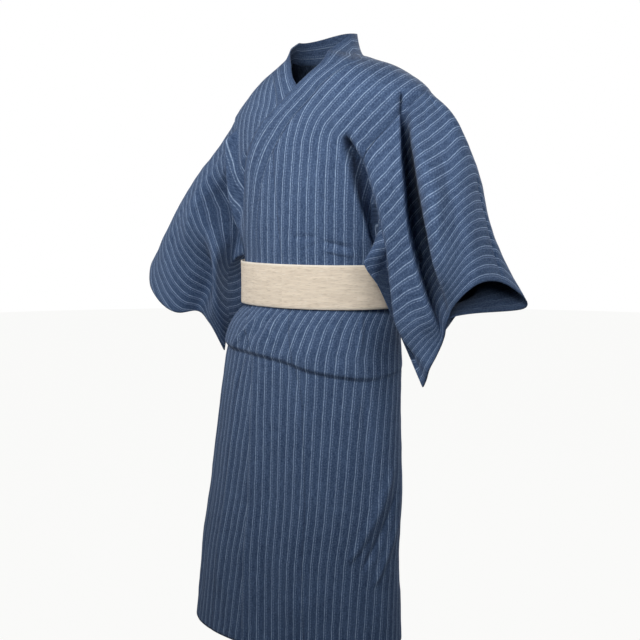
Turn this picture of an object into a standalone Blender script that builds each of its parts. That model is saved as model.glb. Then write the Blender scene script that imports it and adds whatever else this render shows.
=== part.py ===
"""A man's cotton yukata robe, worn and hollow, closed left over right by a flat obi.

Metres, +Z up. +X is the wearer's left and -Y the front. The origin is on the shoulder line, under the
middle of the neck. Angles go round the body from the front (0) towards the wearer's left (90 degrees).
"""

import math
from collections import namedtuple

import bmesh
import bpy
from mathutils import Vector

# ---------------------------------------------------------------- driving sizes
CLOTH = 0.0016  # wall of the cotton
BAND = 0.0024  # collar: the same cotton folded round a stay
OBI_WALL = 0.0030
SEAM = 0.0008  # open line between two sewn pieces
ARMHOLE_SEAM = 0.0028  # the same round the armhole, where the sleeve turns away from the body
SNUG = 0.0006  # clear gap between cloths that lie on each other
LAYER = 0.0050  # how far the upper front lies over the under front
LAYER_FADE = (36.0, 62.0)  # the angles over which it comes down onto the side of the body
OBI_LIFT = LAYER + BAND / 2 + SNUG + OBI_WALL / 2  # obi's middle over the cloth of the under front
HEM_LEVEL = -1.300
OBI_TOP = -0.452
OBI_BOTTOM = -0.548
ARMHOLE_TOP = -0.100
ARMHOLE_BOTTOM = -0.440
ARMHOLE_OPEN = 31.0  # degrees from the side line to the armhole's edge, at its widest
ARMHOLE_ARCH = 0.11  # share of the armhole's height that its round top takes
ARMHOLE_POINT = 0.42  # and its narrowing foot
COLLAR_END = -0.500
OKUMI_TOP = -0.210
NAPE_EDGE = 0.062  # level of the collar's free edge behind the neck
LEAN = 0.070  # rise of the wearer's left shoulder for each metre across
LEAN_FADE = (-0.46, -0.20)
TUCK_STAND = 0.009  # how far the cloth bags out over the sewn tuck below the obi
TUCK_STEP = 0.012
CUFF_SHARE = 0.53  # share of the sleeve's depth that the cuff opening takes
CUFF_LIPS = 0.0030  # between the sewn front and back of the sleeve, middle to middle
SEWN_FROM = 0.80  # how far along the sleeve its front and back begin to meet
AROUND = 0.19  # metres along the cloth for each radian round the body

# ---------------------------------------------------------------- mesh steps
FRONT_COLUMNS = 12
BACK_COLUMNS = 8
OKUMI_COLUMNS = 4
COLLAR_COLUMNS = 3
ARMHOLE_STEPS = 16
NAPE_STEPS = 14
SLEEVE_STEPS = 16
OBI_COLUMNS = 60
STRAP_COLUMNS = 5
STRAP_STEPS = 7

# ---------------------------------------------------------------- sections of the body
Ring = namedtuple("Ring", "level half_width front back shift_x shift_y")
BODY_RINGS = (
    Ring(0.070, 0.066, 0.066, 0.066, 0.004, 0.020),
    Ring(0.030, 0.073, 0.074, 0.074, 0.004, 0.013),
    Ring(0.000, 0.084, 0.086, 0.086, 0.008, 0.008),
    Ring(-0.014, 0.110, 0.094, 0.096, 0.014, 0.005),
    Ring(-0.040, 0.167, 0.105, 0.110, 0.021, 0.002),
    Ring(-0.060, 0.203, 0.113, 0.120, 0.025, 0.000),
    Ring(-0.100, 0.251, 0.124, 0.130, 0.029, 0.000),
    Ring(-0.150, 0.246, 0.132, 0.138, 0.021, 0.000),
    Ring(-0.210, 0.232, 0.137, 0.140, 0.012, 0.000),
    Ring(-0.300, 0.211, 0.138, 0.132, 0.005, 0.000),
    Ring(-0.400, 0.195, 0.137, 0.118, 0.001, 0.000),
    Ring(-0.450, 0.188, 0.135, 0.113, 0.000, 0.000),
    Ring(-0.550, 0.188, 0.135, 0.116, 0.000, 0.000),
    Ring(-0.570, 0.200, 0.141, 0.121, -0.005, -0.002),
    Ring(-0.600, 0.211, 0.147, 0.129, -0.010, -0.005),
    Ring(-0.690, 0.222, 0.153, 0.148, -0.016, -0.011),
    Ring(-0.830, 0.234, 0.158, 0.158, -0.023, -0.016),
    Ring(-0.970, 0.246, 0.163, 0.163, -0.029, -0.020),
    Ring(-1.120, 0.255, 0.168, 0.168, -0.041, -0.028),
    Ring(-1.300, 0.267, 0.175, 0.176, -0.046, -0.032),
)

# ---------------------------------------------------------------- lines drawn on the body
Line = namedtuple("Line", "level angle")
LEFT_COLLAR_SEAM = (
    Line(-0.004, 84.0),
    Line(-0.027, 61.0),
    Line(-0.047, 34.0),
    Line(-0.080, 15.0),
    Line(-0.115, 6.0),
    Line(-0.147, -1.0),
    Line(-0.197, -8.0),
    Line(-0.250, -15.0),
    Line(-0.320, -21.0),
    Line(-0.500, -28.0),
)
RIGHT_COLLAR_SEAM = (
    Line(-0.004, 84.0),
    Line(-0.022, 55.0),
    Line(-0.045, 28.0),
    Line(-0.080, 17.0),
    Line(-0.120, 12.0),
    Line(-0.170, 2.0),
    Line(-0.220, -8.0),
    Line(-0.300, -12.0),
    Line(-0.500, -14.0),
)
LEFT_OKUMI_SEAM = (
    Line(-0.210, -9.5),
    Line(-0.500, 2.0),
    Line(-0.650, 14.0),
    Line(-0.760, 22.0),
    Line(-1.300, 30.0),
)
LEFT_FRONT_EDGE = (
    Line(-0.500, -47.0),
    Line(-0.600, -24.0),
    Line(-0.650, -15.0),
    Line(-0.760, -12.0),
    Line(-1.300, -4.0),
)
RIGHT_OKUMI_SEAM = (
    Line(-0.210, -6.0),
    Line(-0.500, 6.0),
    Line(-0.760, 28.0),
    Line(-1.300, 30.0),
)
RIGHT_FRONT_EDGE = (
    Line(-0.500, -26.0),
    Line(-0.650, -12.0),
    Line(-0.760, -10.0),
    Line(-1.300, -6.0),
)

LEFT_ARMHOLE_FRONT = (
    Line(ARMHOLE_TOP, 90.0),
    Line(-0.112, 82.5),
    Line(-0.146, 67.5),
    Line(-0.176, 59.0),
    Line(-0.206, 52.0),
    Line(-0.235, 45.5),
    Line(-0.246, 43.5),
    Line(-0.284, 48.7),
    Line(-0.372, 63.7),
    Line(-0.430, 73.5),
    Line(ARMHOLE_BOTTOM, 90.0),
)
Place = namedtuple("Place", "share level")
LEFT_FRONT_SEAM = (  # where each share of the left sleeve's front meets that edge
    Place(0.00, ARMHOLE_TOP),
    Place(0.25, -0.116),
    Place(0.42, -0.138),
    Place(0.53, -0.146),
    Place(0.64, -0.154),
    Place(0.73, -0.190),
    Place(0.82, -0.242),
    Place(0.91, -0.330),
    Place(1.00, ARMHOLE_BOTTOM),
)

Tuck = namedtuple("Tuck", "angle level")
TUCK_LINE = (
    Tuck(-180.0, -0.668),
    Tuck(-70.0, -0.650),
    Tuck(-10.0, -0.660),
    Tuck(20.0, -0.682),
    Tuck(45.0, -0.702),
    Tuck(70.0, -0.709),
    Tuck(180.0, -0.668),
)

Fold = namedtuple("Fold", "angle_a level_a angle_b level_b width height")
BODY_FOLDS = (
    Fold(33.0, -0.190, 72.0, -0.425, 0.013, -0.030),
    Fold(-36.0, -0.200, -69.0, -0.415, 0.014, -0.012),
    Fold(-54.0, -0.190, -74.0, -0.345, 0.020, 0.012),
)
FOLD_START = (-0.02, 0.06)  # metres along a fold over which it rises, and past its end over which it dies
FOLD_END = (-0.04, 0.02)

# ---------------------------------------------------------------- rails along the sleeves
Rail = namedtuple("Rail", "share near upper lower cuff")
STATIONS = (0.0, 0.20, 0.40, 0.65, 1.0)  # armhole, near, upper, lower and cuff, as shares of the sleeve's width
LEFT_SLEEVE = (
    Rail(-0.80, (0.229, 0.032, -0.406), (0.255, 0.030, -0.463), (0.279, 0.015, -0.554), (0.345, -0.097, -0.650)),
    Rail(-0.64, (0.257, 0.056, -0.357), (0.303, 0.058, -0.421), (0.328, 0.056, -0.514), (0.352, -0.037, -0.600)),
    Rail(-0.53, (0.280, 0.067, -0.317), (0.336, 0.075, -0.384), (0.361, 0.073, -0.484), (0.378, -0.087, -0.558)),
    Rail(-0.25, (0.314, 0.063, -0.223), (0.367, 0.067, -0.297), (0.388, 0.086, -0.412), (0.464, 0.100, -0.540)),
    Rail(0.00, (0.335, 0.006, -0.139), (0.377, 0.009, -0.225), (0.404, 0.014, -0.332), (0.450, 0.020, -0.500)),
    Rail(0.25, (0.312, -0.044, -0.172), (0.360, -0.068, -0.261), (0.395, -0.077, -0.357), (0.430, -0.080, -0.505)),
    Rail(0.42, (0.279, -0.067, -0.204), (0.315, -0.094, -0.297), (0.354, -0.100, -0.397), (0.398, -0.092, -0.535)),
    Rail(0.53, (0.244, -0.024, -0.225), (0.257, -0.015, -0.326), (0.295, -0.020, -0.443), (0.378, -0.090, -0.558)),
    Rail(0.64, (0.268, -0.083, -0.252), (0.287, -0.086, -0.371), (0.325, -0.092, -0.513), (0.362, -0.073, -0.595)),
    Rail(0.73, (0.247, -0.098, -0.291), (0.272, -0.100, -0.401), (0.303, -0.107, -0.538), (0.350, -0.082, -0.632)),
    Rail(0.82, (0.217, -0.099, -0.330), (0.241, -0.094, -0.429), (0.266, -0.101, -0.565), (0.340, -0.094, -0.660)),
    Rail(0.91, (0.194, -0.054, -0.366), (0.212, -0.053, -0.462), (0.255, -0.066, -0.574), (0.328, -0.086, -0.684)),
    Rail(1.00, (0.192, -0.110, -0.438), (0.211, -0.084, -0.496), (0.254, -0.085, -0.574), (0.319, -0.082, -0.700)),
)
RIGHT_SLEEVE = (
    Rail(-0.80, (-0.222, 0.035, -0.404), (-0.239, 0.040, -0.460), (-0.245, 0.041, -0.559), (-0.297, -0.062, -0.635)),
    Rail(-0.64, (-0.244, 0.057, -0.362), (-0.289, 0.056, -0.418), (-0.317, 0.045, -0.509), (-0.325, -0.052, -0.600)),
    Rail(-0.53, (-0.258, 0.066, -0.323), (-0.317, 0.069, -0.377), (-0.352, 0.058, -0.470), (-0.345, -0.092, -0.582)),
    Rail(-0.25, (-0.284, 0.063, -0.239), (-0.356, 0.059, -0.299), (-0.415, 0.057, -0.396), (-0.478, 0.035, -0.520)),
    Rail(0.00, (-0.285, 0.001, -0.182), (-0.342, -0.003, -0.248), (-0.403, -0.013, -0.333), (-0.485, -0.028, -0.462)),
    Rail(0.25, (-0.256, -0.073, -0.240), (-0.312, -0.080, -0.296), (-0.367, -0.088, -0.386), (-0.442, -0.087, -0.526)),
    Rail(0.53, (-0.237, -0.059, -0.311), (-0.279, -0.058, -0.362), (-0.309, -0.074, -0.461), (-0.345, -0.095, -0.582)),
    Rail(0.64, (-0.231, -0.037, -0.335), (-0.265, -0.026, -0.382), (-0.287, -0.035, -0.486), (-0.326, -0.055, -0.600)),
    Rail(0.80, (-0.212, -0.073, -0.386), (-0.228, -0.090, -0.431), (-0.243, -0.089, -0.530), (-0.297, -0.072, -0.635)),
    Rail(1.00, (-0.222, -0.027, -0.449), (-0.239, -0.039, -0.491), (-0.241, -0.035, -0.584), (-0.268, -0.020, -0.674)),
)

# ---------------------------------------------------------------- the collar's free edge
Edge = namedtuple("Edge", "seam_level angle level")
LEFT_COLLAR_EDGE = (
    Edge(-0.500, -47.0, -0.500),
    Edge(-0.320, -38.5, -0.320),
    Edge(-0.250, -34.5, -0.232),
    Edge(-0.197, -23.0, -0.152),
    Edge(-0.147, -13.0, -0.117),
    Edge(-0.115, -3.5, -0.080),
    Edge(-0.080, 7.5, -0.052),
    Edge(-0.047, 25.0, -0.022),
    Edge(-0.027, 56.0, 0.018),
    Edge(-0.004, 88.0, 0.045),
)
RIGHT_COLLAR_EDGE = (
    Edge(-0.500, -27.0, -0.500),
    Edge(-0.300, -26.0, -0.290),
    Edge(-0.220, -22.0, -0.190),
    Edge(-0.170, -14.0, -0.140),
    Edge(-0.120, -3.0, -0.090),
    Edge(-0.080, 5.0, -0.055),
    Edge(-0.045, 14.0, -0.020),
    Edge(-0.022, 48.0, 0.018),
    Edge(-0.004, 88.0, 0.045),
)

# ---------------------------------------------------------------- the obi's knot, behind the waist
Strap = namedtuple("Strap", "name over across level turn width length swell")
KNOT_STRAPS = (
    Strap("obi_end_up", 1, -0.064, -0.452, 52.0, 0.070, 0.110, 0.000),
    Strap("obi_end_down", 1, 0.058, -0.560, 50.0, 0.070, 0.130, 0.000),
    Strap("obi_knot", 2, 0.000, -0.500, -14.0, 0.062, 0.124, 0.005),
)

# ---------------------------------------------------------------- levels of the rows
SHOULDER_ROWS = (-0.004, -0.012, -0.020, -0.028, -0.037, -0.047, -0.058, -0.072, -0.086)
SKIRT_ROWS = (COLLAR_END, OBI_BOTTOM, -0.564, -0.580, -0.605, -0.630, -0.644, -0.655, -0.666, -0.678, -0.690)
HEM_ROWS = (-0.702, -0.714, -0.735, -0.790, -0.870, -0.960, -1.060, -1.180, HEM_LEVEL)


# ---------------------------------------------------------------- smooth reading of a table
def slope(before, after):
    """The slope where two stretches of a table meet, with no overshoot."""
    if before * after <= 0:
        return 0.0
    return 2 * before * after / (before + after)


def read_table(rows, key, column):
    """The named column of a table where its first column has this value."""
    keys = [row[0] for row in rows]
    values = [getattr(row, column) for row in rows]
    if keys[0] > keys[-1]:
        keys = [-each for each in keys]
        key = -key
    key = min(max(key, keys[0]), keys[-1])
    last = len(keys) - 2
    i = min(sum(1 for each in keys[1:-1] if each <= key), last)
    steps = [(values[k + 1] - values[k]) / (keys[k + 1] - keys[k]) for k in range(last + 1)]
    start = slope(steps[i - 1], steps[i]) if i > 0 else steps[i]
    end = slope(steps[i], steps[i + 1]) if i < last else steps[i]
    width = keys[i + 1] - keys[i]
    t = (key - keys[i]) / width
    rise = values[i + 1] - values[i]
    return values[i] + rise * t + t * (1 - t) * ((1 - t) * (start * width - rise) + t * (rise - end * width))


def through(keys, points, key):
    """A smooth curve through the points, read at key."""
    last = len(keys) - 2
    i = min(sum(1 for each in keys[1:-1] if each <= key), last)
    steps = [(points[k + 1] - points[k]) / (keys[k + 1] - keys[k]) for k in range(last + 1)]
    width = keys[i + 1] - keys[i]
    start = steps[i]
    end = steps[i]
    if i > 0:
        before = keys[i] - keys[i - 1]
        start = (steps[i - 1] * width + steps[i] * before) / (width + before)
    if i < last:
        after = keys[i + 2] - keys[i + 1]
        end = (steps[i] * after + steps[i + 1] * width) / (width + after)
    t = (key - keys[i]) / width
    rise = points[i + 1] - points[i]
    bend = (1 - t) * (start * width - rise) + t * (rise - end * width)
    return points[i] + rise * t + bend * (t * (1 - t))


def blend(low, high, value):
    """0 below low, 1 above high, and smooth between."""
    t = min(max((value - low) / (high - low), 0.0), 1.0)
    return t * t * (3 - 2 * t)


# ---------------------------------------------------------------- the body's surface
def body_base(angle, level):
    """A point of the worn cloth's smooth form at this angle and level, before its folds."""
    turn = math.radians(angle)
    depth = read_table(BODY_RINGS, level, "front" if math.cos(turn) > 0 else "back")
    x = read_table(BODY_RINGS, level, "half_width") * math.sin(turn)
    x += read_table(BODY_RINGS, level, "shift_x")
    y = read_table(BODY_RINGS, level, "shift_y") - depth * math.cos(turn)
    return Vector((x, y, level + LEAN * x * blend(*LEAN_FADE, level)))


def body_normal(angle, level):
    """The outward direction of the smooth form."""
    across = body_base(angle + 0.5, level) - body_base(angle - 0.5, level)
    down = body_base(angle, level - 0.002) - body_base(angle, level + 0.002)
    return down.cross(across).normalized()


def fold_height(folds, angle, level):
    """How far the folds lift or sink the cloth here: a soft ridge or trough along each fold's line."""
    total = 0.0
    reach = math.radians(AROUND)
    for fold in folds:
        run_x = (fold.angle_b - fold.angle_a) * reach
        run_y = fold.level_b - fold.level_a
        off_x = (angle - fold.angle_a) * reach
        off_y = level - fold.level_a
        length = math.hypot(run_x, run_y)
        along = (off_x * run_x + off_y * run_y) / length
        side = (off_y * run_x - off_x * run_y) / length
        fade = blend(*FOLD_START, along) * (1 - blend(*FOLD_END, along - length))
        total += fold.height * fade * math.exp(-((side / fold.width) ** 2))
    return total


def tuck_height(angle, level):
    """The cloth below the obi bags outwards and steps back in under the tuck."""
    line = read_table(TUCK_LINE, (angle + 180) % 360 - 180, "level")
    swell = blend(0.0, 1.0, (OBI_BOTTOM - level) / (OBI_BOTTOM - line - TUCK_STEP))
    return TUCK_STAND * swell * blend(line - TUCK_STEP / 2, line + TUCK_STEP / 2, level)


def body_point(angle, level, out=0.0):
    """A point of the worn cloth, with its folds, lifted out from it."""
    lift = out + fold_height(BODY_FOLDS, angle, level)
    if level < OBI_BOTTOM:
        lift += tuck_height(angle, level)
    return body_base(angle, level) + body_normal(angle, level) * lift


def front_lift(angle, layer):
    """How far a front, and the collar on it, stand out: the upper front comes down at the side of the body."""
    return layer * (1 - blend(*LAYER_FADE, angle))


def armhole_share(step):
    """Share of the armhole's height at this step, with close steps at its top and foot."""
    return (1 - math.cos(math.pi * step)) / 2


def armhole_half(share):
    """Degrees from the side line to the armhole's edge, at this share of its height from the top."""
    foot = min(1.0, (1 - share) / ARMHOLE_POINT) ** 0.8
    arch = min(1.0, share / ARMHOLE_ARCH) ** 0.5
    return ARMHOLE_OPEN * foot * arch


# ---------------------------------------------------------------- rows of the body's grids
ARMHOLE_ROWS = [
    ARMHOLE_TOP + (ARMHOLE_BOTTOM - ARMHOLE_TOP) * armhole_share(step / ARMHOLE_STEPS)
    for step in range(ARMHOLE_STEPS + 1)
]
ROWS = [*SHOULDER_ROWS, *ARMHOLE_ROWS, *SKIRT_ROWS, *HEM_ROWS]
COLLAR_ROW = ROWS.index(COLLAR_END)
OKUMI_ROW = max(row for row, level in enumerate(ROWS) if level > OKUMI_TOP)


def armhole_edge(side, level, front):
    """The angle of the armhole's edge at this level: the side line above and below the armhole."""
    share = (level - ARMHOLE_TOP) / (ARMHOLE_BOTTOM - ARMHOLE_TOP)
    if not 0 < share < 1:
        return 90.0
    if front and side > 0:
        return read_table(LEFT_ARMHOLE_FRONT, level, "angle")
    return 90.0 - armhole_half(share) if front else 90.0 + armhole_half(share)


# ---------------------------------------------------------------- making sheets
def material(name, colour, roughness):
    """A plain finish with this base colour."""
    made = bpy.data.materials.new(name)
    made.use_nodes = True
    shader = made.node_tree.nodes["Principled BSDF"]
    shader.inputs["Base Color"].default_value = (*colour, 1.0)
    shader.inputs["Roughness"].default_value = roughness
    return made


def grid(shape, columns, rows, place):
    """Adds a grid whose corners are at place(across, row): across from 0 to 1, and rows counted from 0."""
    made = bmesh.ops.create_grid(shape, x_segments=columns, y_segments=rows, size=0.5)["verts"]
    for corner in made:
        corner.co = place(corner.co.x + 0.5, round((corner.co.y + 0.5) * rows))


def cloth(name, shape, wall, colour_material):
    """Turns the sheet into an object with a wall of even thickness."""
    bmesh.ops.remove_doubles(shape, verts=shape.verts, dist=0.00002)
    bmesh.ops.recalc_face_normals(shape, faces=shape.faces)
    mesh = bpy.data.meshes.new(name)
    shape.to_mesh(mesh)
    shape.free()
    mesh.shade_smooth()
    mesh.materials.append(colour_material)
    made = bpy.data.objects.new(name, mesh)
    bpy.context.scene.collection.objects.link(made)
    thick = made.modifiers.new("Wall", "SOLIDIFY")
    thick.thickness = wall
    thick.offset = 0.0
    return made


# ---------------------------------------------------------------- the pieces
def front_limit(collar_seam, okumi_seam, level):
    """The angle where the body strip's front ends: at the collar, then at the overlap strip's seam."""
    collar = read_table(collar_seam, level, "angle")
    if level > OKUMI_TOP:
        return collar
    return max(collar, read_table(okumi_seam, level, "angle"))


def body_strip(name, side, collar_seam, okumi_seam, layer, colour_material):
    """One body strip: from the back hem, over the shoulder, to the front hem, with its armhole."""

    def front(across, row):
        outer = armhole_edge(side, ROWS[row], True)
        angle = outer + (front_limit(collar_seam, okumi_seam, ROWS[row]) - outer) * across
        return body_point(side * angle, ROWS[row], front_lift(angle, layer))

    def back(across, row):
        outer = armhole_edge(side, ROWS[row], False)
        inner = 180.0 - math.degrees(SEAM / 2 / read_table(BODY_RINGS, ROWS[row], "half_width"))
        return body_point(side * (outer + (inner - outer) * across), ROWS[row])

    shape = bmesh.new()
    grid(shape, FRONT_COLUMNS, len(ROWS) - 1, front)
    grid(shape, BACK_COLUMNS, len(ROWS) - 1, back)
    return cloth(name, shape, CLOTH, colour_material)


def okumi(name, side, collar_seam, okumi_seam, edge, layer, colour_material):
    """The overlap strip: a blunt point under the collar, widening to the free front edge."""

    def span(row):
        """Level, and the angles of the seam and of the inner edge."""
        level = ROWS[row]
        inner = read_table(collar_seam if row <= COLLAR_ROW else edge, level, "angle")
        outer = max(front_limit(collar_seam, okumi_seam, level), inner)
        return level, outer - math.degrees(SEAM / AROUND), inner

    def place(across, row):
        level, outer, inner = span(OKUMI_ROW + row)
        if row == 0:
            below = span(OKUMI_ROW + 1)
            level, outer, inner = ((near + far) / 2 for near, far in zip((level, outer, inner), below))
        angle = outer + (inner - outer) * across
        return body_point(side * angle, level, front_lift(angle, layer))

    shape = bmesh.new()
    grid(shape, OKUMI_COLUMNS, len(ROWS) - 1 - OKUMI_ROW, place)
    return cloth(name, shape, CLOTH, colour_material)


def collar_band(colour_material):
    """The collar: one long band from the left chest, round the nape, to the right chest."""
    seam_turn = math.degrees(SEAM / AROUND)

    def on_chest(side, row):
        """Angle and level on the band's seam and free edge, beside this row of the body."""
        seam_table = LEFT_COLLAR_SEAM if side > 0 else RIGHT_COLLAR_SEAM
        edge_table = LEFT_COLLAR_EDGE if side > 0 else RIGHT_COLLAR_EDGE
        seam_angle = read_table(seam_table, ROWS[row], "angle") - seam_turn
        edge_angle = read_table(edge_table, ROWS[row], "angle")
        edge_level = read_table(edge_table, ROWS[row], "level")
        return side * seam_angle, ROWS[row] + SEAM, side * edge_angle, edge_level

    def round_nape(share):
        """The same, from the left side of the neck (0) to its right side (1)."""
        seam_angle, seam_level, edge_angle, edge_level = on_chest(1, 0)
        rise = math.sin(math.pi * share) ** 2
        seam_angle += (360 - 2 * seam_angle) * share
        edge_angle += (360 - 2 * edge_angle) * share
        return seam_angle, seam_level, edge_angle, edge_level + (NAPE_EDGE - edge_level) * rise

    def place(across, row):
        if row <= COLLAR_ROW:
            seam_angle, seam_level, edge_angle, edge_level = on_chest(1, COLLAR_ROW - row)
        elif row < COLLAR_ROW + NAPE_STEPS:
            seam_angle, seam_level, edge_angle, edge_level = round_nape((row - COLLAR_ROW) / NAPE_STEPS)
        else:
            seam_angle, seam_level, edge_angle, edge_level = on_chest(-1, row - COLLAR_ROW - NAPE_STEPS)
        angle = seam_angle + (edge_angle - seam_angle) * across
        level = seam_level + (edge_level - seam_level) * across
        return body_point(angle, level, front_lift(angle, LAYER if row <= COLLAR_ROW else 0.0))

    shape = bmesh.new()
    grid(shape, COLLAR_COLUMNS, 2 * COLLAR_ROW + NAPE_STEPS, place)
    return cloth("collar", shape, BAND, colour_material)


def armhole_point(side, share):
    """A point of the sleeve's seam, just inside the armhole's edge: share runs from its top (0) to its foot."""
    turn = math.degrees(ARMHOLE_SEAM / AROUND)
    if side > 0 and share > 0:
        level = read_table(LEFT_FRONT_SEAM, share, "level")
        angle = min(armhole_edge(side, level, True) + turn, 90.0)
        return body_point(angle, level + ARMHOLE_SEAM * (2 * blend(0.82, 1.0, share) - 1))
    top = ARMHOLE_TOP - ARMHOLE_SEAM
    foot = ARMHOLE_BOTTOM + ARMHOLE_SEAM
    half = armhole_half(abs(share)) - turn
    angle = 90.0 - math.copysign(max(half, 0.0), share)
    return body_point(side * angle, top + (foot - top) * abs(share))


def sleeve_point(rails, side, along, share):
    """A point of the sleeve: along from armhole (0) to cuff (1), share from the top fold (0) round to the bottom."""
    stretch = [armhole_point(side, share)]
    shares = [rail.share for rail in rails]
    ring_shares = [shares[-2] - 2, -1.0, *shares, 2 + shares[0]]
    for station in ("near", "upper", "lower", "cuff"):
        points = [Vector(getattr(rail, station)) for rail in rails]
        stretch.append(through(ring_shares, [points[-2], points[-1], *points, points[0]], share))
    return through(STATIONS, stretch, along)


def sleeve(name, rails, side, colour_material):
    """One sleeve: a sheet folded over the arm, closed along its bottom and below the cuff opening."""
    last_step = 1 - armhole_share(1 - 1 / ARMHOLE_STEPS)

    def place(across, row):
        along = row / SLEEVE_STEPS
        share = math.copysign(armhole_share(abs(2 * across - 1)), across - 0.5)
        point = sleeve_point(rails, side, along, share)
        sewn = blend(SEWN_FROM, 1.0, along) * blend(CUFF_SHARE - 0.08, CUFF_SHARE + 0.02, abs(share))
        if share < 0:
            point = point.lerp(sleeve_point(rails, side, along, -share), sewn)
        apart = min(1.0, (1 - abs(share)) / last_step)
        return point - Vector((0, math.copysign(CUFF_LIPS / 2, share) * sewn * apart, 0))

    shape = bmesh.new()
    grid(shape, 2 * ARMHOLE_STEPS, SLEEVE_STEPS, place)
    return cloth(name, shape, CLOTH, colour_material)


def obi_wrap(colour_material):
    """The obi: a flat band closed round the waist."""

    def place(across, row):
        level = OBI_BOTTOM + (OBI_TOP - OBI_BOTTOM) * row / 2
        return body_point(360.0 * across, level, OBI_LIFT)

    shape = bmesh.new()
    grid(shape, OBI_COLUMNS, 2, place)
    return cloth("obi_wrap", shape, OBI_WALL, colour_material)


def knot_strap(strap, colour_material):
    """One flat strap of the knot, lying on what is under it behind the waist."""
    turn = math.radians(strap.turn)
    under = OBI_LIFT + strap.over * (OBI_WALL + SNUG)

    def place(across, row):
        share = row / STRAP_STEPS
        beside = (across - 0.5) * strap.width
        beyond = (share - 0.5) * strap.length
        x = strap.across + beside * math.cos(turn) - beyond * math.sin(turn)
        level = strap.level + beside * math.sin(turn) + beyond * math.cos(turn)
        swell = strap.swell * math.sin(math.pi * share)
        return body_point(180.0 + math.degrees(x / AROUND), level, under + swell)

    shape = bmesh.new()
    grid(shape, STRAP_COLUMNS, STRAP_STEPS, place)
    return cloth(strap.name, shape, OBI_WALL, colour_material)


def main():
    for old in list(bpy.data.objects):
        bpy.data.objects.remove(old)
    indigo = material("indigo cotton", (0.080, 0.125, 0.225), 0.9)
    overlap = material("indigo cotton, overlap", (0.072, 0.115, 0.210), 0.9)
    band = material("indigo cotton, collar", (0.070, 0.110, 0.200), 0.9)
    cream = material("cream obi", (0.720, 0.600, 0.480), 0.85)

    body_strip("body_left", 1, LEFT_COLLAR_SEAM, LEFT_OKUMI_SEAM, LAYER, indigo)
    body_strip("body_right", -1, RIGHT_COLLAR_SEAM, RIGHT_OKUMI_SEAM, 0.0, indigo)
    okumi("okumi_left", 1, LEFT_COLLAR_SEAM, LEFT_OKUMI_SEAM, LEFT_FRONT_EDGE, LAYER, overlap)
    okumi("okumi_right", -1, RIGHT_COLLAR_SEAM, RIGHT_OKUMI_SEAM, RIGHT_FRONT_EDGE, 0.0, overlap)
    collar_band(band)
    sleeve("sleeve_left", LEFT_SLEEVE, 1, indigo)
    sleeve("sleeve_right", RIGHT_SLEEVE, -1, indigo)
    obi_wrap(cream)
    for strap in KNOT_STRAPS:
        knot_strap(strap, cream)


main()
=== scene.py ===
"""A man's cotton yukata robe, worn closed left over right under a flat cream obi, as a Blender add-on.

Metres, +Z up. +X is the wearer's left and -Y the front. Angles go round the body from the front (0) towards
the wearer's left (90 degrees), and a level is a height on the standing body, below the shoulder line. Each
cloth is one fine sheet with a wall. The cotton's map holds metres across (U) and along (V) its stripes, and
the obi's holds metres along (U) and across (V) the band.
"""

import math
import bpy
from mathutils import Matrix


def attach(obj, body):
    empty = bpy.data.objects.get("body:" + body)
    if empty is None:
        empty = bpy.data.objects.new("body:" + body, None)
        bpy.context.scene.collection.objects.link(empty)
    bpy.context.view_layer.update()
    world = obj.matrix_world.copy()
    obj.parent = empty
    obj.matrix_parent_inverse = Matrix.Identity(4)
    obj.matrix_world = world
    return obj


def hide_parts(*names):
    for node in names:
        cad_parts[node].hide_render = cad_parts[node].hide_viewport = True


bl_info = {
    "name": "Cotton Yukata Robe",
    "version": (1, 0, 0),
    "blender": (4, 5, 0),
    "location": "View3D > Sidebar > Yukata",
    "description": "Builds a worn striped cotton yukata with its obi, and a plain studio round it",
    "category": "Object",
}

from collections import namedtuple

import bmesh
import bpy
import numpy as np
from mathutils import Vector, noise

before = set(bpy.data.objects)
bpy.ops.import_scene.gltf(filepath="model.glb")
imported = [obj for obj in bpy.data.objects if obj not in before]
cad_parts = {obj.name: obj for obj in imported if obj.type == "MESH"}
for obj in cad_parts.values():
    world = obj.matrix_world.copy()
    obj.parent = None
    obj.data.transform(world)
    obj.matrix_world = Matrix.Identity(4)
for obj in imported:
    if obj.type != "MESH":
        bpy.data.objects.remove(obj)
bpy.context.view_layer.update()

# ---------------------------------------------------------------- driving sizes
CLOTH = 0.0016  # wall of the cotton
BAND = 0.0024  # collar: the same cotton folded round a stay
OBI_WALL = 0.0030
SNUG = 0.0006  # clear gap between cloths that lie on each other
LAYER = 0.0050  # how far the upper front lies over the under front
LAYER_FADE = (36.0, 62.0)  # the angles over which it comes down onto the side of the body
OBI_LIFT = LAYER + BAND / 2 + SNUG + OBI_WALL / 2  # obi's middle over the cloth of the under front
HEM_LEVEL = -1.300
OBI_TOP = -0.452
OBI_BOTTOM = -0.548
OBI_WIDTH = OBI_TOP - OBI_BOTTOM
ARMHOLE_TOP = -0.100
ARMHOLE_BOTTOM = -0.440
ARMHOLE_OPEN = 31.0  # degrees from the side line to the armhole's edge, at its widest
ARMHOLE_ARCH = 0.11  # share of the armhole's height that its round top takes
ARMHOLE_POINT = 0.42  # and its narrowing foot
ARMHOLE_ARCH_BEND = 0.5  # how the top opens and the foot closes, as powers of the way through each
ARMHOLE_POINT_BEND = 0.8
COLLAR_END = -0.500
OKUMI_TOP = -0.210
NAPE_EDGE = 0.062  # level of the collar's free edge behind the neck
LEAN = 0.070  # rise of the wearer's left shoulder for each metre across
LEAN_FADE = (-0.46, -0.20)  # levels between which that rise sets in
TUCK_STAND = 0.009  # how far the cloth bags out over the sewn tuck below the obi
TUCK_STEP = 0.012
TUCK_FLAT = 0.75  # how much less it stands out at the wearer's left
TUCK_FLAT_FROM = (45.0, 80.0)
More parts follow.
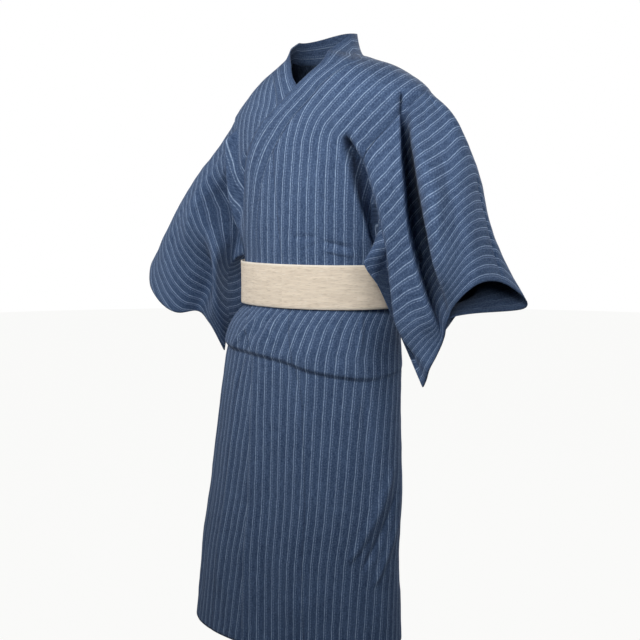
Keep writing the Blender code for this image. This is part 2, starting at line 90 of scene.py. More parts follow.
CUFF_SHARE = 0.53  # share of the sleeve's depth that the cuff opening takes
CUFF_CLOSE = (CUFF_SHARE - 0.08, CUFF_SHARE + 0.02)  # shares between which the opening closes
CUFF_LIPS = 0.0030  # between the sewn front and back of the sleeve, middle to middle
SEWN_FROM = 0.80  # how far along the sleeve its front and back begin to meet
AROUND = 0.19  # metres along the cloth for each radian round the body
PER_DEGREE = math.radians(AROUND)  # and for each degree

# ---------------------------------------------------------------- finer sizes than the solids have
FINE_SEAM = 0.00005  # open line between two sewn pieces
SEAM_TURN = float(np.degrees(FINE_SEAM / AROUND))  # the same as an angle
SLEEVE_UNDER = 0.0012  # how far the sleeve's edge lies under the armhole's edge
SLEEVE_UNDER_FADE = 0.25  # share of the armhole's height, at its foot, over which that comes to nothing
SLEEVE_SINK = 0.0005  # how far in from the body's cloth it lies
OKUMI_BLUNT = 0.5  # rows below its seam's top where an overlap strip begins, with a blunt point
COLLAR_SWELL = 0.0014  # how far the folded band swells in its middle
OBI_RIPPLE = 0.0006  # how far the obi's edges wave in and out
OBI_WAVES = 5  # and how often round the waist
OBI_FLARE = 0.0045  # how far its top edge turns out, round which angle and how widely
OBI_FLARE_ANGLE = 282.0
OBI_FLARE_WIDTH = 9.0
OBI_FLARE_FROM = (0.62, 1.0)  # shares of its width over which it does
STRAP_ROUND = 0.0012  # how far the knot's straps are rounded in their middle
SEAM_SINK = 0.0016  # how far the cloth turns in at a sewn edge, and within which distance
SEAM_REACH = 0.0060
ARMHOLE_SINK = 0.2  # shares of that at the armhole, the front's seams and the middle of the back
FRONT_SINK = 0.4
BACK_SINK = 0.6
WRINKLE = 0.0011  # height and size of the cotton's soft unevenness, and how much finer a second layer is
WRINKLE_SIZE = 0.055
WRINKLE_FINER = 2.3
SLEEVE_WRINKLE = 1.6 * WRINKLE
SLEEVE_WRINKLE_SIZE = 0.065
UNDER_OBI_FADE = 0.02  # distance from the obi within which wrinkles and creases are pressed flat

# ---------------------------------------------------------------- mesh steps
FRONT_COLUMNS = 64
BACK_COLUMNS = 44
OKUMI_COLUMNS = 30
COLLAR_COLUMNS = 12
NAPE_STEPS = 60
ARMHOLE_STEPS = 84
SLEEVE_STEPS = 96
OBI_COLUMNS = 260
OBI_ROWS = 20
STRAP_COLUMNS = 20
STRAP_STEPS = 32
SHOULDER_ROWS = (-0.004, -0.012, -0.020, -0.028, -0.037, -0.047, -0.058, -0.072, -0.086, ARMHOLE_TOP)
SHOULDER_STEPS = 5  # fine rows for each of those
LOWER_ROWS = (  # below the armhole: from each level on, the height of a row
    (ARMHOLE_BOTTOM, 0.0050),
    (OBI_BOTTOM, 0.0044),
    (-0.635, 0.0026),
    (-0.725, 0.0060),
    (HEM_LEVEL, 0.0),
)
NORMAL_ANGLE = 0.5  # steps to the points beside one, from which its outward direction is found
NORMAL_LEVEL = 0.002
NORMAL_SHARE = 0.004
MERGE = 0.00002  # points nearer than this become one
FACING_SAMPLE = 400  # faces that are asked which side of a sheet is its outer one
NO_EDGE = 1.0  # distance to the free edge, where there is none near
TINY = 1e-9


def table(kind, *rows):
    """Rows of plain numbers as records of this kind."""
    return [kind(*row) for row in rows]


# ---------------------------------------------------------------- sections of the body
Ring = namedtuple("Ring", "level half_width front back shift_x shift_y")
BODY_RINGS = table(
    Ring,
    (0.070, 0.066, 0.066, 0.066, 0.004, 0.020),
    (0.030, 0.073, 0.074, 0.074, 0.004, 0.013),
    (0.000, 0.084, 0.086, 0.086, 0.008, 0.008),
    (-0.014, 0.110, 0.094, 0.096, 0.014, 0.005),
    (-0.040, 0.167, 0.105, 0.110, 0.021, 0.002),
    (-0.060, 0.197, 0.113, 0.120, 0.025, 0.000),
    (-0.100, 0.242, 0.124, 0.130, 0.029, 0.000),
    (-0.114, 0.250, 0.127, 0.133, 0.027, 0.000),
    (-0.150, 0.246, 0.132, 0.138, 0.021, 0.000),
    (-0.210, 0.232, 0.137, 0.140, 0.012, 0.000),
    (-0.300, 0.211, 0.138, 0.132, 0.005, 0.000),
    (-0.400, 0.195, 0.137, 0.118, 0.001, 0.000),
    (-0.450, 0.188, 0.135, 0.113, 0.000, 0.000),
    (-0.550, 0.188, 0.135, 0.116, 0.000, 0.000),
    (-0.570, 0.200, 0.141, 0.121, -0.005, -0.002),
    (-0.600, 0.211, 0.147, 0.129, -0.010, -0.005),
    (-0.690, 0.222, 0.153, 0.148, -0.016, -0.011),
    (-0.830, 0.234, 0.158, 0.158, -0.023, -0.016),
    (-0.970, 0.246, 0.163, 0.163, -0.029, -0.020),
    (-1.120, 0.255, 0.168, 0.168, -0.041, -0.028),
    (-1.300, 0.267, 0.175, 0.176, -0.046, -0.032),
)

# ---------------------------------------------------------------- lines drawn on the body
Line = namedtuple("Line", "level angle")
LEFT_COLLAR_SEAM = table(
    Line,
    (-0.004, 84.0),
    (-0.027, 61.0),
    (-0.047, 34.0),
    (-0.080, 15.0),
    (-0.115, 6.0),
    (-0.147, -1.0),
    (-0.197, -8.0),
    (-0.250, -15.0),
    (-0.320, -21.0),
    (-0.500, -28.0),
)
RIGHT_COLLAR_SEAM = table(
    Line,
    (-0.004, 84.0),
    (-0.022, 55.0),
    (-0.045, 28.0),
    (-0.080, 17.0),
    (-0.120, 12.0),
    (-0.170, 2.0),
    (-0.220, -8.0),
    (-0.300, -12.0),
    (-0.500, -14.0),
)
LEFT_OKUMI_SEAM = table(
    Line,
    (-0.210, -9.5),
    (-0.500, 2.0),
    (-0.650, 14.0),
    (-0.760, 22.0),
    (-1.300, 30.0),
)
LEFT_FRONT_EDGE = table(
    Line,
    (-0.500, -47.0),
    (-0.600, -24.0),
    (-0.650, -15.0),
    (-0.760, -12.0),
    (-1.300, -4.0),
)
RIGHT_OKUMI_SEAM = table(
    Line,
    (-0.210, -6.0),
    (-0.500, 6.0),
    (-0.760, 28.0),
    (-1.300, 30.0),
)
RIGHT_FRONT_EDGE = table(
    Line,
    (-0.500, -26.0),
    (-0.650, -12.0),
    (-0.760, -10.0),
    (-1.300, -6.0),
)

LEFT_ARMHOLE_FRONT = table(
    Line,
    (ARMHOLE_TOP, 90.0),
    (-0.112, 82.5),
    (-0.146, 67.5),
    (-0.176, 59.0),
    (-0.206, 52.0),
    (-0.230, 48.0),
    (-0.246, 47.5),
    (-0.284, 54.0),
    (-0.330, 62.0),
    (-0.372, 69.5),
    (-0.430, 80.0),
    (ARMHOLE_BOTTOM, 90.0),
)
Place = namedtuple("Place", "share level")
LEFT_FRONT_SEAM = table(  # where each share of the left sleeve's front meets that edge
    Place,
    (0.00, ARMHOLE_TOP),
    (0.25, -0.116),
    (0.42, -0.138),
    (0.53, -0.146),
    (0.64, -0.154),
    (0.73, -0.190),
    (0.82, -0.242),
    (0.91, -0.330),
    (1.00, ARMHOLE_BOTTOM),
)

Tuck = namedtuple("Tuck", "angle level")
TUCK_LINE = table(
    Tuck,
    (-180.0, -0.668),
    (-70.0, -0.645),
    (-18.0, -0.651),
    (7.0, -0.661),
    (25.0, -0.679),
    (43.0, -0.690),
    (62.0, -0.697),
    (90.0, -0.690),
    (180.0, -0.668),
)

# A fold runs from place a to place b: angles and levels on the body, shares of depth and width on a sleeve.
Fold = namedtuple("Fold", "across_a down_a across_b down_b width height")
BODY_FOLDS = table(
    Fold,
    (33.5, -0.194, 75.0, -0.425, 0.0115, -0.064),
    (61.5, -0.104, 67.0, -0.162, 0.006, -0.018),
    (-36.0, -0.200, -69.0, -0.415, 0.014, -0.012),
    (-52.0, -0.150, -64.0, -0.400, 0.017, 0.026),
)
FOLD_START = (-0.012, 0.022)  # metres along a fold over which it rises
FOLD_END = (-0.04, 0.02)  # and past its end over which it dies
FOLD_TIP = 0.45  # share of its width that a fold starts with
FOLD_WIDENS = (-0.010, 0.110)  # and the metres along it over which it widens
UNDER_FOLD = 0.058  # how far the first fold's floor runs back under its outer edge
UNDER_FOLD_EDGE = 0.3  # share of its width, past the fold's middle, where the floor is fully under
UNDER_FOLD_START = (0.0, 0.20)  # metres along the fold over which it comes under

# ---------------------------------------------------------------- rails along the sleeves
Rail = namedtuple("Rail", "share near upper lower cuff")
STATIONS = (0.0, 0.20, 0.40, 0.65, 1.0)  # armhole, near, upper, lower and cuff, as shares of the width
ARM_FROM = (0.20, 0.01, -0.26)  # the line inside a sleeve, as across, back and up, and how it goes on
ARM_RUN = (0.25, -0.03, -0.26)


def rail_table(*rows):
    """Rails from rows that give a share and the four stations in millimetres."""
    return [Rail(share, *(np.array(points) / 1000)) for share, *points in rows]


# Share 0 is the fold along the sleeve's top, 1 the bottom reached over its front, and -1 over its back.
LEFT_SLEEVE = rail_table(
    (-0.80, (229, 32, -406), (255, 30, -463), (279, 15, -554), (345, -97, -650)),
    (-0.64, (257, 56, -357), (303, 58, -421), (328, 56, -514), (352, -37, -600)),
    (-0.53, (280, 67, -317), (336, 75, -384), (361, 73, -484), (378, -87, -558)),
    (-0.25, (314, 63, -223), (367, 67, -297), (388, 86, -412), (464, 100, -540)),
    (0.00, (335, 6, -139), (377, 9, -225), (404, 14, -332), (450, 18, -484)),
    (0.25, (312, -44, -172), (360, -68, -261), (395, -77, -357), (430, -80, -487)),
    (0.42, (279, -67, -204), (315, -94, -297), (348, -102, -432), (390, -96, -535)),
    (0.47, (245, -10, -210), (258, 0, -307), (291, 0, -423), (384, -92, -546)),
    (0.58, (226, -10, -241), (231, 0, -341), (262, 0, -478), (373, -86, -570)),
    (0.64, (271, -84, -256), (289, -88, -371), (336, -92, -513), (362, -73, -595)),
    (0.73, (247, -98, -291), (272, -100, -401), (303, -107, -538), (350, -82, -632)),
    (0.82, (217, -99, -330), (241, -94, -429), (266, -101, -565), (340, -94, -660)),
    (0.91, (216, -66, -398), (212, -53, -462), (255, -66, -574), (328, -86, -684)),
    (1.00, (192, -110, -438), (211, -84, -496), (254, -85, -574), (319, -82, -700)),
)
RIGHT_SLEEVE = rail_table(
    (-0.80, (-222, 35, -404), (-239, 40, -460), (-245, 41, -559), (-279, -50, -605)),
    (-0.64, (-244, 57, -362), (-289, 56, -418), (-317, 45, -509), (-323, -52, -579)),
    (-0.53, (-258, 66, -323), (-317, 69, -377), (-352, 58, -470), (-345, -92, -582)),
    (-0.25, (-284, 63, -239), (-356, 59, -299), (-415, 57, -396), (-478, 35, -520)),
    (0.00, (-285, 1, -182), (-342, -3, -248), (-403, -13, -333), (-485, -28, -462)),
    (0.25, (-258, -56, -240), (-312, -80, -296), (-367, -88, -386), (-442, -87, -526)),
    (0.53, (-243, 2, -318), (-276, -88, -362), (-309, -74, -461), (-345, -95, -582)),
    (0.64, (-239, 10, -342), (-262, -84, -382), (-287, -35, -486), (-324, -55, -579)),
    (0.80, (-226, -10, -392), (-228, -90, -431), (-243, -89, -530), (-279, -60, -605)),
    (1.00, (-222, -27, -449), (-239, -39, -491), (-241, -35, -584), (-268, -20, -674)),
)

# ---------------------------------------------------------------- the collar's free edge
Edge = namedtuple("Edge", "seam_level angle level")
LEFT_COLLAR_EDGE = table(
    Edge,
    (-0.500, -47.0, -0.500),
    (-0.320, -38.5, -0.320),
    (-0.250, -34.5, -0.232),
    (-0.197, -23.0, -0.152),
    (-0.147, -13.0, -0.117),
    (-0.115, -3.5, -0.080),
    (-0.080, 7.5, -0.052),
    (-0.047, 25.0, -0.022),
    (-0.027, 56.0, 0.018),
    (-0.004, 88.0, 0.045),
)
RIGHT_COLLAR_EDGE = table(
    Edge,
    (-0.500, -27.0, -0.500),
    (-0.300, -26.0, -0.290),
    (-0.220, -22.0, -0.190),
    (-0.170, -14.0, -0.140),
    (-0.120, -3.0, -0.090),
    (-0.080, 5.0, -0.055),
    (-0.045, 14.0, -0.020),
    (-0.022, 48.0, 0.018),
    (-0.004, 88.0, 0.045),
)

# ---------------------------------------------------------------- the obi's knot, behind the waist
Strap = namedtuple("Strap", "name over across level turn width length swell")
KNOT_STRAPS = table(
    Strap,
    ("obi_end_up", 1, -0.064, -0.452, 52.0, 0.070, 0.110, 0.000),
    ("obi_end_down", 1, 0.058, -0.560, 50.0, 0.070, 0.130, 0.000),
    ("obi_knot", 2, 0.000, -0.500, -14.0, 0.062, 0.124, 0.005),
)

# ---------------------------------------------------------------- creases finer than the solids hold
BODY_CREASES = table(
    Fold,
    (-12.0, -0.560, -38.0, -0.655, 0.008, 0.0065),
    (-4.0, -0.558, -24.0, -0.650, 0.007, -0.0050),
    (2.0, -0.558, -9.0, -0.640, 0.008, 0.0060),
    (12.0, -0.562, 2.0, -0.668, 0.009, -0.0045),
    (28.0, -0.560, 22.0, -0.676, 0.012, 0.0030),
    (44.0, -0.560, 42.0, -0.680, 0.010, -0.0030),
    (58.0, -0.556, 55.0, -0.650, 0.008, 0.0040),
    (54.0, -1.090, 86.0, -0.900, 0.014, 0.0070),
    (63.0, -1.110, 92.0, -0.950, 0.011, -0.0065),
    (71.0, -1.150, 97.0, -1.010, 0.013, 0.0055),
    (20.0, -0.760, 24.0, -1.240, 0.018, 0.0035),
    (4.0, -0.800, 8.0, -1.290, 0.016, -0.0030),
    (60.0, -0.740, 66.0, -0.960, 0.016, -0.0040),
    (-30.0, -0.700, -26.0, -1.200, 0.016, 0.0035),
    (-52.0, -0.640, -50.0, -1.250, 0.018, -0.0040),
    (-74.0, -0.600, -72.0, -1.150, 0.018, 0.0040),
    (10.0, -0.250, 34.0, -0.268, 0.007, -0.0016),
    (23.0, -0.310, 36.0, -0.331, 0.005, -0.0048),
    (7.0, -0.393, 24.0, -0.392, 0.005, -0.0040),
    (28.0, -0.402, 50.0, -0.418, 0.007, -0.0060),
    (30.0, -0.420, 52.0, -0.432, 0.007, 0.0040),
    (12.0, -0.425, 26.0, -0.405, 0.007, -0.0018),
    (120.0, -0.180, 150.0, -0.420, 0.020, 0.0040),
    (-120.0, -0.180, -150.0, -0.420, 0.020, 0.0040),
    (135.0, -0.560, 128.0, -0.760, 0.012, 0.0050),
    (158.0, -0.560, 165.0, -0.800, 0.012, -0.0040),
    (-135.0, -0.560, -128.0, -0.780, 0.012, 0.0050),
    (-160.0, -0.560, -166.0, -0.760, 0.012, -0.0040),
    (112.0, -0.700, 108.0, -1.180, 0.020, -0.0050),
    (142.0, -0.760, 146.0, -1.260, 0.020, 0.0050),
    (-112.0, -0.700, -108.0, -1.200, 0.020, -0.0050),
    (-146.0, -0.740, -150.0, -1.240, 0.020, 0.0050),
)

LEFT_SLEEVE_CREASES = table(
    Fold,
    (0.00, 0.50, 0.00, 1.05, 0.007, 0.0060),
    (0.20, 0.05, 0.36, 0.60, 0.022, -0.0035),
    (0.10, 0.02, 0.18, 0.40, 0.018, 0.0030),
    (0.62, 0.05, 0.70, 0.75, 0.018, 0.0030),
    (0.78, 0.10, 0.84, 0.70, 0.016, -0.0030),
    (-0.20, 0.05, -0.40, 0.70, 0.024, -0.0050),
    (-0.45, 0.10, -0.62, 0.80, 0.024, 0.0045),
)
RIGHT_SLEEVE_CREASES = table(
    Fold,
    (0.16, 0.10, 0.34, 0.80, 0.020, 0.0030),
    (0.30, 0.05, 0.46, 0.70, 0.018, -0.0035),
    (0.08, 0.30, 0.14, 0.90, 0.020, -0.0025),
    (-0.20, 0.05, -0.40, 0.70, 0.024, -0.0050),
    (-0.45, 0.10, -0.62, 0.80, 0.024, 0.0045),
)

SLEEVE_FREE_ALONG = (0.0, 0.06)  # shares of the width from the armhole over which creases and wrinkles set in
SLEEVE_FREE_BOTTOM = (0.0, 0.05)  # the same from the bottom, as shares of the depth
CUFF_CALM = 0.8  # how much of them is lost at the cuff, and from where
CUFF_CALM_FROM = (0.85, 1.0)

# ---------------------------------------------------------------- how the stripes lie on the worn cloth
CHEST_CORNER = (32.8, -0.194)  # angle and level where the front's upright stripes turn towards the shoulder
CHEST_OFFSET = 0.049  # metres of cloth from that corner to the armhole's seam
CHEST_TURN = math.radians(42.0)  # how far they turn
BACK_CORNER = (59.0, -0.150)  # the same on the back
BACK_OFFSET = 0.0135
SHOULDER_NORMAL = (0.69, 0.21, -0.69)  # across the slanting stripes of the shoulder's front
SHOULDER_ALONG = (0.66, 0.30, 0.69)
SHOULDER_LEVEL = 0.251
RIGHT_LEAN = 0.22  # how much the right front's stripes run inwards on their way down
RIGHT_LEAN_FROM = -0.150  # from this level, for this far
RIGHT_LEAN_OVER = 0.30
RIGHT_LEAN_FADE = (70.0, 110.0)  # angles over which the lean is lost towards the back
# metres to the side for each metre up that the stripes lean above the tuck, at each angle
TUCK_SLANT = ((-60.0, 0.50), (-38.0, 0.36), (-12.0, 0.16), (15.0, 0.11), (45.0, 0.06), (65.0, 0.0))
SKIRT_TOP = -0.650  # the stripes follow the front edge below this level
SKIRT_SLANT = 0.045  # metres that the side's stripes lean forward by the hem
SKIRT_SLANT_FROM = -0.700  # from this level, over this height
SKIRT_SLANT_OVER = 0.600
SKIRT_SLANT_SIDE = (0.05, 0.30)  # metres round from the front edge over which the lean sets in
LEFT_WIDTH = 0.46  # metres of cloth along the left sleeve
RIGHT_WIDTH = 0.44
SLEEVE_DEPTH = 0.49
FOOT_START = 0.080  # where the left sleeve's stripes start at the foot of its armhole
FOOT_START_FROM = (0.82, 1.0)  # shares of the depth over which that sets in
SLEEVE_LEAN = 0.075  # metres that the right sleeve's stripes lean towards the cuff by its bottom
SLEEVE_LEAN_FROM = (0.10, 0.90)
COLLAR_WIDTH = 0.055
COLLAR_LENGTH = 1.60
COLLAR_PHASE = 0.0040  # where the collar's seam lies across the stripes


# ---------------------------------------------------------------- smooth reading of a table
def curve(rows, key, column):
    """The named column of a table where its first column has these values, with no overshoot."""
    keys = np.array([row[0] for row in rows])
    values = np.array([getattr(row, column) for row in rows])
    if keys[0] > keys[-1]:
        keys = keys[::-1]
        values = values[::-1]
    key = np.clip(key, keys[0], keys[-1])
    widths = np.diff(keys)
    rises = np.diff(values)
    steps = rises / widths
    product = steps[:-1] * steps[1:]
    total = steps[:-1] + steps[1:]
    inner = np.divide(2 * product, total, out=np.zeros_like(total), where=product > 0)
    slopes = np.concatenate([steps[:1], inner, steps[-1:]])
    i = np.clip(np.searchsorted(keys, key, side="right") - 1, 0, len(widths) - 1)
    t = (key - keys[i]) / widths[i]
    bend = (1 - t) * (slopes[i] * widths[i] - rises[i]) + t * (rises[i] - slopes[i + 1] * widths[i])
    return values[i] + rises[i] * t + bend * t * (1 - t)


def through(keys, points, key):
    """A smooth curve through the points, read at each key: one set of points for all, or one for each key."""
    keys = np.array(keys)
    points = np.array(points)
    widths = np.diff(keys).reshape((-1,) + (1,) * (points.ndim - 1))
    steps = np.diff(points, axis=0) / widths
    inner = (steps[:-1] * widths[1:] + steps[1:] * widths[:-1]) / (widths[:-1] + widths[1:])
    slopes = np.concatenate([steps[:1], inner, steps[-1:]])
    i = np.clip(np.searchsorted(keys, key, side="right") - 1, 0, len(keys) - 2)
    pick = (i,) if points.ndim == 2 else (i, np.arange(len(i)))
    after = (i + 1,) if points.ndim == 2 else (i + 1, np.arange(len(i)))
    width = np.diff(keys)[i][:, None]
    t = ((key - keys[i]) / np.diff(keys)[i])[:, None]
    rise = points[after] - points[pick]
    bend = (1 - t) * (slopes[pick] * width - rise) + t * (rise - slopes[after] * width)
    return points[pick] + rise * t + bend * t * (1 - t)


def blend(low, high, value):
    """0 below low, 1 above high, and smooth between."""
    t = np.clip((value - low) / (high - low), 0.0, 1.0)
    return t * t * (3 - 2 * t)


def unit(vectors):
    """These directions at length 1."""
    return vectors / np.linalg.norm(vectors, axis=1, keepdims=True)


def wrinkle(points, size):
    """The cotton's soft unevenness at these points: a broad layer and a finer one of half its height."""
    places = [Vector(point) / size for point in points]
    return np.array([noise.noise(place) + 0.5 * noise.noise(place * WRINKLE_FINER) for place in places])


# ---------------------------------------------------------------- the body's surface
def body_base(angle, level):
    """Points of the worn cloth's smooth form at these angles and levels, before its folds."""
    turn = np.radians(angle)
    front = curve(BODY_RINGS, level, "front")
    depth = np.where(np.cos(turn) > 0, front, curve(BODY_RINGS, level, "back"))
    x = curve(BODY_RINGS, level, "half_width") * np.sin(turn) + curve(BODY_RINGS, level, "shift_x")
    y = curve(BODY_RINGS, level, "shift_y") - depth * np.cos(turn)
    return np.stack([x, y, level + LEAN * x * blend(*LEAN_FADE, level)], axis=1)


def body_normal(angle, level):
    """The outward direction of the smooth form."""
    across = body_base(angle + NORMAL_ANGLE, level) - body_base(angle - NORMAL_ANGLE, level)
    down = body_base(angle, level - NORMAL_LEVEL) - body_base(angle, level + NORMAL_LEVEL)
    return unit(np.cross(down, across))


def in_metres(fold, across, down=1.0):
    """This fold with its ends in metres, from the metres across and down for each unit of its table."""
    ends = (fold.across_a * across, fold.down_a * down, fold.across_b * across, fold.down_b * down)
    return Fold(*ends, fold.width, fold.height)


def fold_run(fold):
    """How far a fold runs across, down, and along itself."""
    run = (fold.across_b - fold.across_a, fold.down_b - fold.down_a)
    return *run, math.hypot(*run)


def fold_frame(fold, across, down):
    """Metres along the fold's line from its start, metres to its side, and the share of its height there."""
    run_across, run_down, length = fold_run(fold)
    across = across - fold.across_a
    down = down - fold.down_a
    along = (across * run_across + down * run_down) / length
    side = (down * run_across - across * run_down) / length
    fade = blend(*FOLD_START, along) * (1 - blend(*FOLD_END, along - length))
    width = fold.width * (FOLD_TIP + (1 - FOLD_TIP) * blend(*FOLD_WIDENS, along))
    return along, side, fade * np.exp(-((side / width) ** 2))


def fold_height(folds, across, down):
    """How far the folds lift or sink the cloth: a soft ridge or trough along each fold's line, in metres."""
    return sum((fold.height * fold_frame(fold, across, down)[2] for fold in folds), np.zeros_like(across))


def body_folds(folds, angle, level):
    """The folds of the body's cloth at these angles and levels."""
    return fold_height([in_metres(fold, PER_DEGREE) for fold in folds], angle * PER_DEGREE, level)


def under_fold(angle, level):
    """Where the floor of the chest's long fold really lies: it runs back under the fold's outer edge."""
    fold = in_metres(BODY_FOLDS[0], PER_DEGREE)
    along, side, depth = fold_frame(fold, angle * PER_DEGREE, level)
    run_across, run_down, length = fold_run(fold)
    beside = blend(-fold.width, UNDER_FOLD_EDGE * fold.width, side)
    shift = UNDER_FOLD * depth * beside * blend(*UNDER_FOLD_START, along)
    across = shift * -run_down / length
    return angle + across / PER_DEGREE, level + shift * run_across / length


def tuck_line(angle):
    """The level of the sewn tuck below the obi."""
    return curve(TUCK_LINE, (angle + 180) % 360 - 180, "level")


def tuck_height(angle, level):
    """How far the cloth below the obi bags out, before it steps back in at the tuck."""
    line = tuck_line(angle)
    swell = blend(0.0, 1.0, (OBI_BOTTOM - level) / (OBI_BOTTOM - line - TUCK_STEP))
    flat = 1 - TUCK_FLAT * blend(*TUCK_FLAT_FROM, angle)
    return TUCK_STAND * flat * swell * blend(line - TUCK_STEP / 2, line + TUCK_STEP / 2, level)


def off_obi(level):
    """1 away from the obi and 0 under it, where the cloth is pressed flat."""
    above = blend(OBI_TOP, OBI_TOP + UNDER_OBI_FADE, level)
    return 1 - blend(OBI_BOTTOM - UNDER_OBI_FADE, OBI_BOTTOM, level) * (1 - above)


def body_point(angle, level, out=0.0, fine=True):
    """Points of the worn cloth, with its folds, lifted out from it."""
    tuck = np.where(level < OBI_BOTTOM, tuck_height(angle, level), 0.0)
    lift = out + body_folds(BODY_FOLDS, angle, level) + tuck
    creases = body_folds(BODY_CREASES, angle, level) if fine else 0.0
    angle, level = under_fold(angle, level)
    base = body_base(angle, level)
    if fine:
        lift = lift + (creases + WRINKLE * wrinkle(base, WRINKLE_SIZE)) * off_obi(level)
    return base + body_normal(angle, level) * lift[:, None]


def front_lift(angle, layer):
    """How far a front and the collar on it stand out: the upper front comes down at the side."""
    return layer * (1 - blend(*LAYER_FADE, angle))


def armhole_share(step):
    """Share of the armhole's height at this step, with close steps at its top and foot."""
    return (1 - np.cos(math.pi * step)) / 2


def armhole_half(share):
    """Degrees from the side line to the armhole's edge, at this share of its height from the top."""
    foot = np.minimum(1.0, (1 - share) / ARMHOLE_POINT) ** ARMHOLE_POINT_BEND
    arch = np.minimum(1.0, share / ARMHOLE_ARCH) ** ARMHOLE_ARCH_BEND
    return ARMHOLE_OPEN * foot * arch


def armhole_edge(side, level, front):
    """The angle of the front's or the back's outer edge: the armhole, and the side line past its ends."""
    share = (level - ARMHOLE_TOP) / (ARMHOLE_BOTTOM - ARMHOLE_TOP)
    inside = (share > 0) & (share < 1)
    half = armhole_half(np.clip(share, 0.0, 1.0))
    if front and side > 0:
        return np.where(inside, curve(LEFT_ARMHOLE_FRONT, level, "angle"), 90.0)
    return np.where(inside, 90.0 - half if front else 90.0 + half, 90.0)


# ---------------------------------------------------------------- rows of the body's grids
def body_rows():
    """The levels of the fine rows, from the shoulder down to the hem."""
    rows = []
    for high, low in zip(SHOULDER_ROWS, SHOULDER_ROWS[1:]):
        rows += [high + (low - high) * step / SHOULDER_STEPS for step in range(SHOULDER_STEPS)]
    fall = ARMHOLE_BOTTOM - ARMHOLE_TOP
    rows += [float(ARMHOLE_TOP + fall * armhole_share(step / ARMHOLE_STEPS)) for step in range(ARMHOLE_STEPS)]
    for (high, step), (low, _) in zip(LOWER_ROWS, LOWER_ROWS[1:]):
        count = math.ceil((high - low) / step)
        rows += [high + (low - high) * each / count for each in range(count)]
    return np.array(rows + [HEM_LEVEL])


ROWS = body_rows()
COLLAR_ROW = int(np.argmin(np.abs(ROWS - COLLAR_END)))
OKUMI_ROW = int(np.nonzero(ROWS > OKUMI_TOP)[0][-1])


# ---------------------------------------------------------------- the stripes' map
def arc(angle, level):
    """Metres round the body at this level, from the front to this angle."""
    wide = curve(BODY_RINGS, level, "half_width")
    deep = curve(BODY_RINGS, level, "front")
    turn = np.radians(angle)
    return (wide + deep) / 2 * turn + (wide - deep) / 4 * np.sin(2 * turn)


def bent_stripes(upright, slanted):
    """Metres across stripes that turn in an arc from upright to slanted, and where they slant."""
    rise = (slanted - upright * math.cos(CHEST_TURN)) / math.sin(CHEST_TURN)
    beyond = -upright * math.sin(CHEST_TURN) + rise * math.cos(CHEST_TURN) > 0
    turned = np.where(beyond, slanted, np.hypot(upright, rise))
    inner = np.where(rise < 0, upright, turned)
    return np.where(upright < 0, np.maximum(upright, slanted), inner), beyond & (rise >= 0)


def corner_arc(corner):
    """Metres round the body to this corner, given as an angle and a level."""
    return arc(np.array(corner[:1]), np.array(corner[1:]))


def chest_map(angle, level, points):
    """Metres across and along the stripes above the obi on the wearer's left, front and back."""
    behind = angle > 90
    flip = np.where(behind, -1.0, 1.0)[:, None] * np.array([[0.0, 1.0, 0.0]]) + np.array([[1.0, 0.0, 1.0]])
    normal = np.array(SHOULDER_NORMAL) * flip
    offset = np.where(behind, BACK_OFFSET, CHEST_OFFSET)
    corner = np.where(behind, corner_arc(BACK_CORNER), corner_arc(CHEST_CORNER))
    upright = corner - arc(np.where(behind, 180 - angle, angle), level)
    slanted = SHOULDER_LEVEL - np.sum(normal * points, axis=1) - offset
    inwards, slant = bent_stripes(upright, slanted)
    along = np.where(slant, np.sum(np.array(SHOULDER_ALONG) * flip * points, axis=1), points[:, 2])
    return -(offset + inwards), along


def skirt_map(angle, level):
    """The same below the obi: the stripes follow the front edge, and lean between the obi and the tuck."""
    reference = curve(LEFT_FRONT_EDGE, np.minimum(level, SKIRT_TOP), "angle")
    across = arc(angle, level) - arc(reference, level)
    slant = np.interp(angle, *np.array(TUCK_SLANT).T)
    across = across - slant * np.maximum(level - tuck_line(angle), 0.0)
    lean = np.clip((SKIRT_SLANT_FROM - level) / SKIRT_SLANT_OVER, 0.0, 1.0)
    return across + SKIRT_SLANT * lean * blend(*SKIRT_SLANT_SIDE, across), level


def right_chest_map(angle, level, points):
    """The same above the obi on the wearer's right."""
    lean = RIGHT_LEAN * np.clip(RIGHT_LEAN_FROM - level, 0.0, RIGHT_LEAN_OVER)
    across = arc(np.minimum(angle, 180 - angle), level) + lean * (1 - blend(*RIGHT_LEAN_FADE, angle))
    return across, level + points[:, 1]


def right_skirt_map(angle, level):
    """The same below the obi on the wearer's right."""
    return arc(np.full_like(level, 90.0), level) - arc(angle, level), level


def robe_map(side, angle, level, points):
    """Metres across and along the stripes of the robe's body. The angle is counted on its own side."""
    if side > 0:
        above, below = chest_map(angle, level, points), skirt_map(angle, level)
    else:
        above, below = right_chest_map(angle, level, points), right_skirt_map(angle, level)
    return np.where(level > (OBI_TOP + OBI_BOTTOM) / 2, above, below).T


# ---------------------------------------------------------------- making sheets
def new_shape():
    """An empty shape with a map for the weave and a value for the distance to the free edge."""
    shape = bmesh.new()
    shape.loops.layers.uv.new("Cloth")
    shape.verts.layers.float.new("edge")
    return shape


def add_grid(shape, columns, rows, place):
    """Adds a grid. place gives the points, the map and the distance to the free edge, from across and row."""
    made = bmesh.ops.create_grid(shape, x_segments=columns, y_segments=rows, size=0.5)["verts"]
    flat = np.array([corner.co[:2] for corner in made]) + 0.5
    points, cloth_map, edges = place(flat[:, 0], np.rint(flat[:, 1] * rows).astype(int))
    layer = shape.loops.layers.uv["Cloth"]
    edge = shape.verts.layers.float["edge"]
    for corner, point, spot, off in zip(made, points.tolist(), cloth_map.tolist(), edges.tolist()):
        corner.co = point
        corner[edge] = off
        for loop in corner.link_loops:
            loop[layer].uv = spot


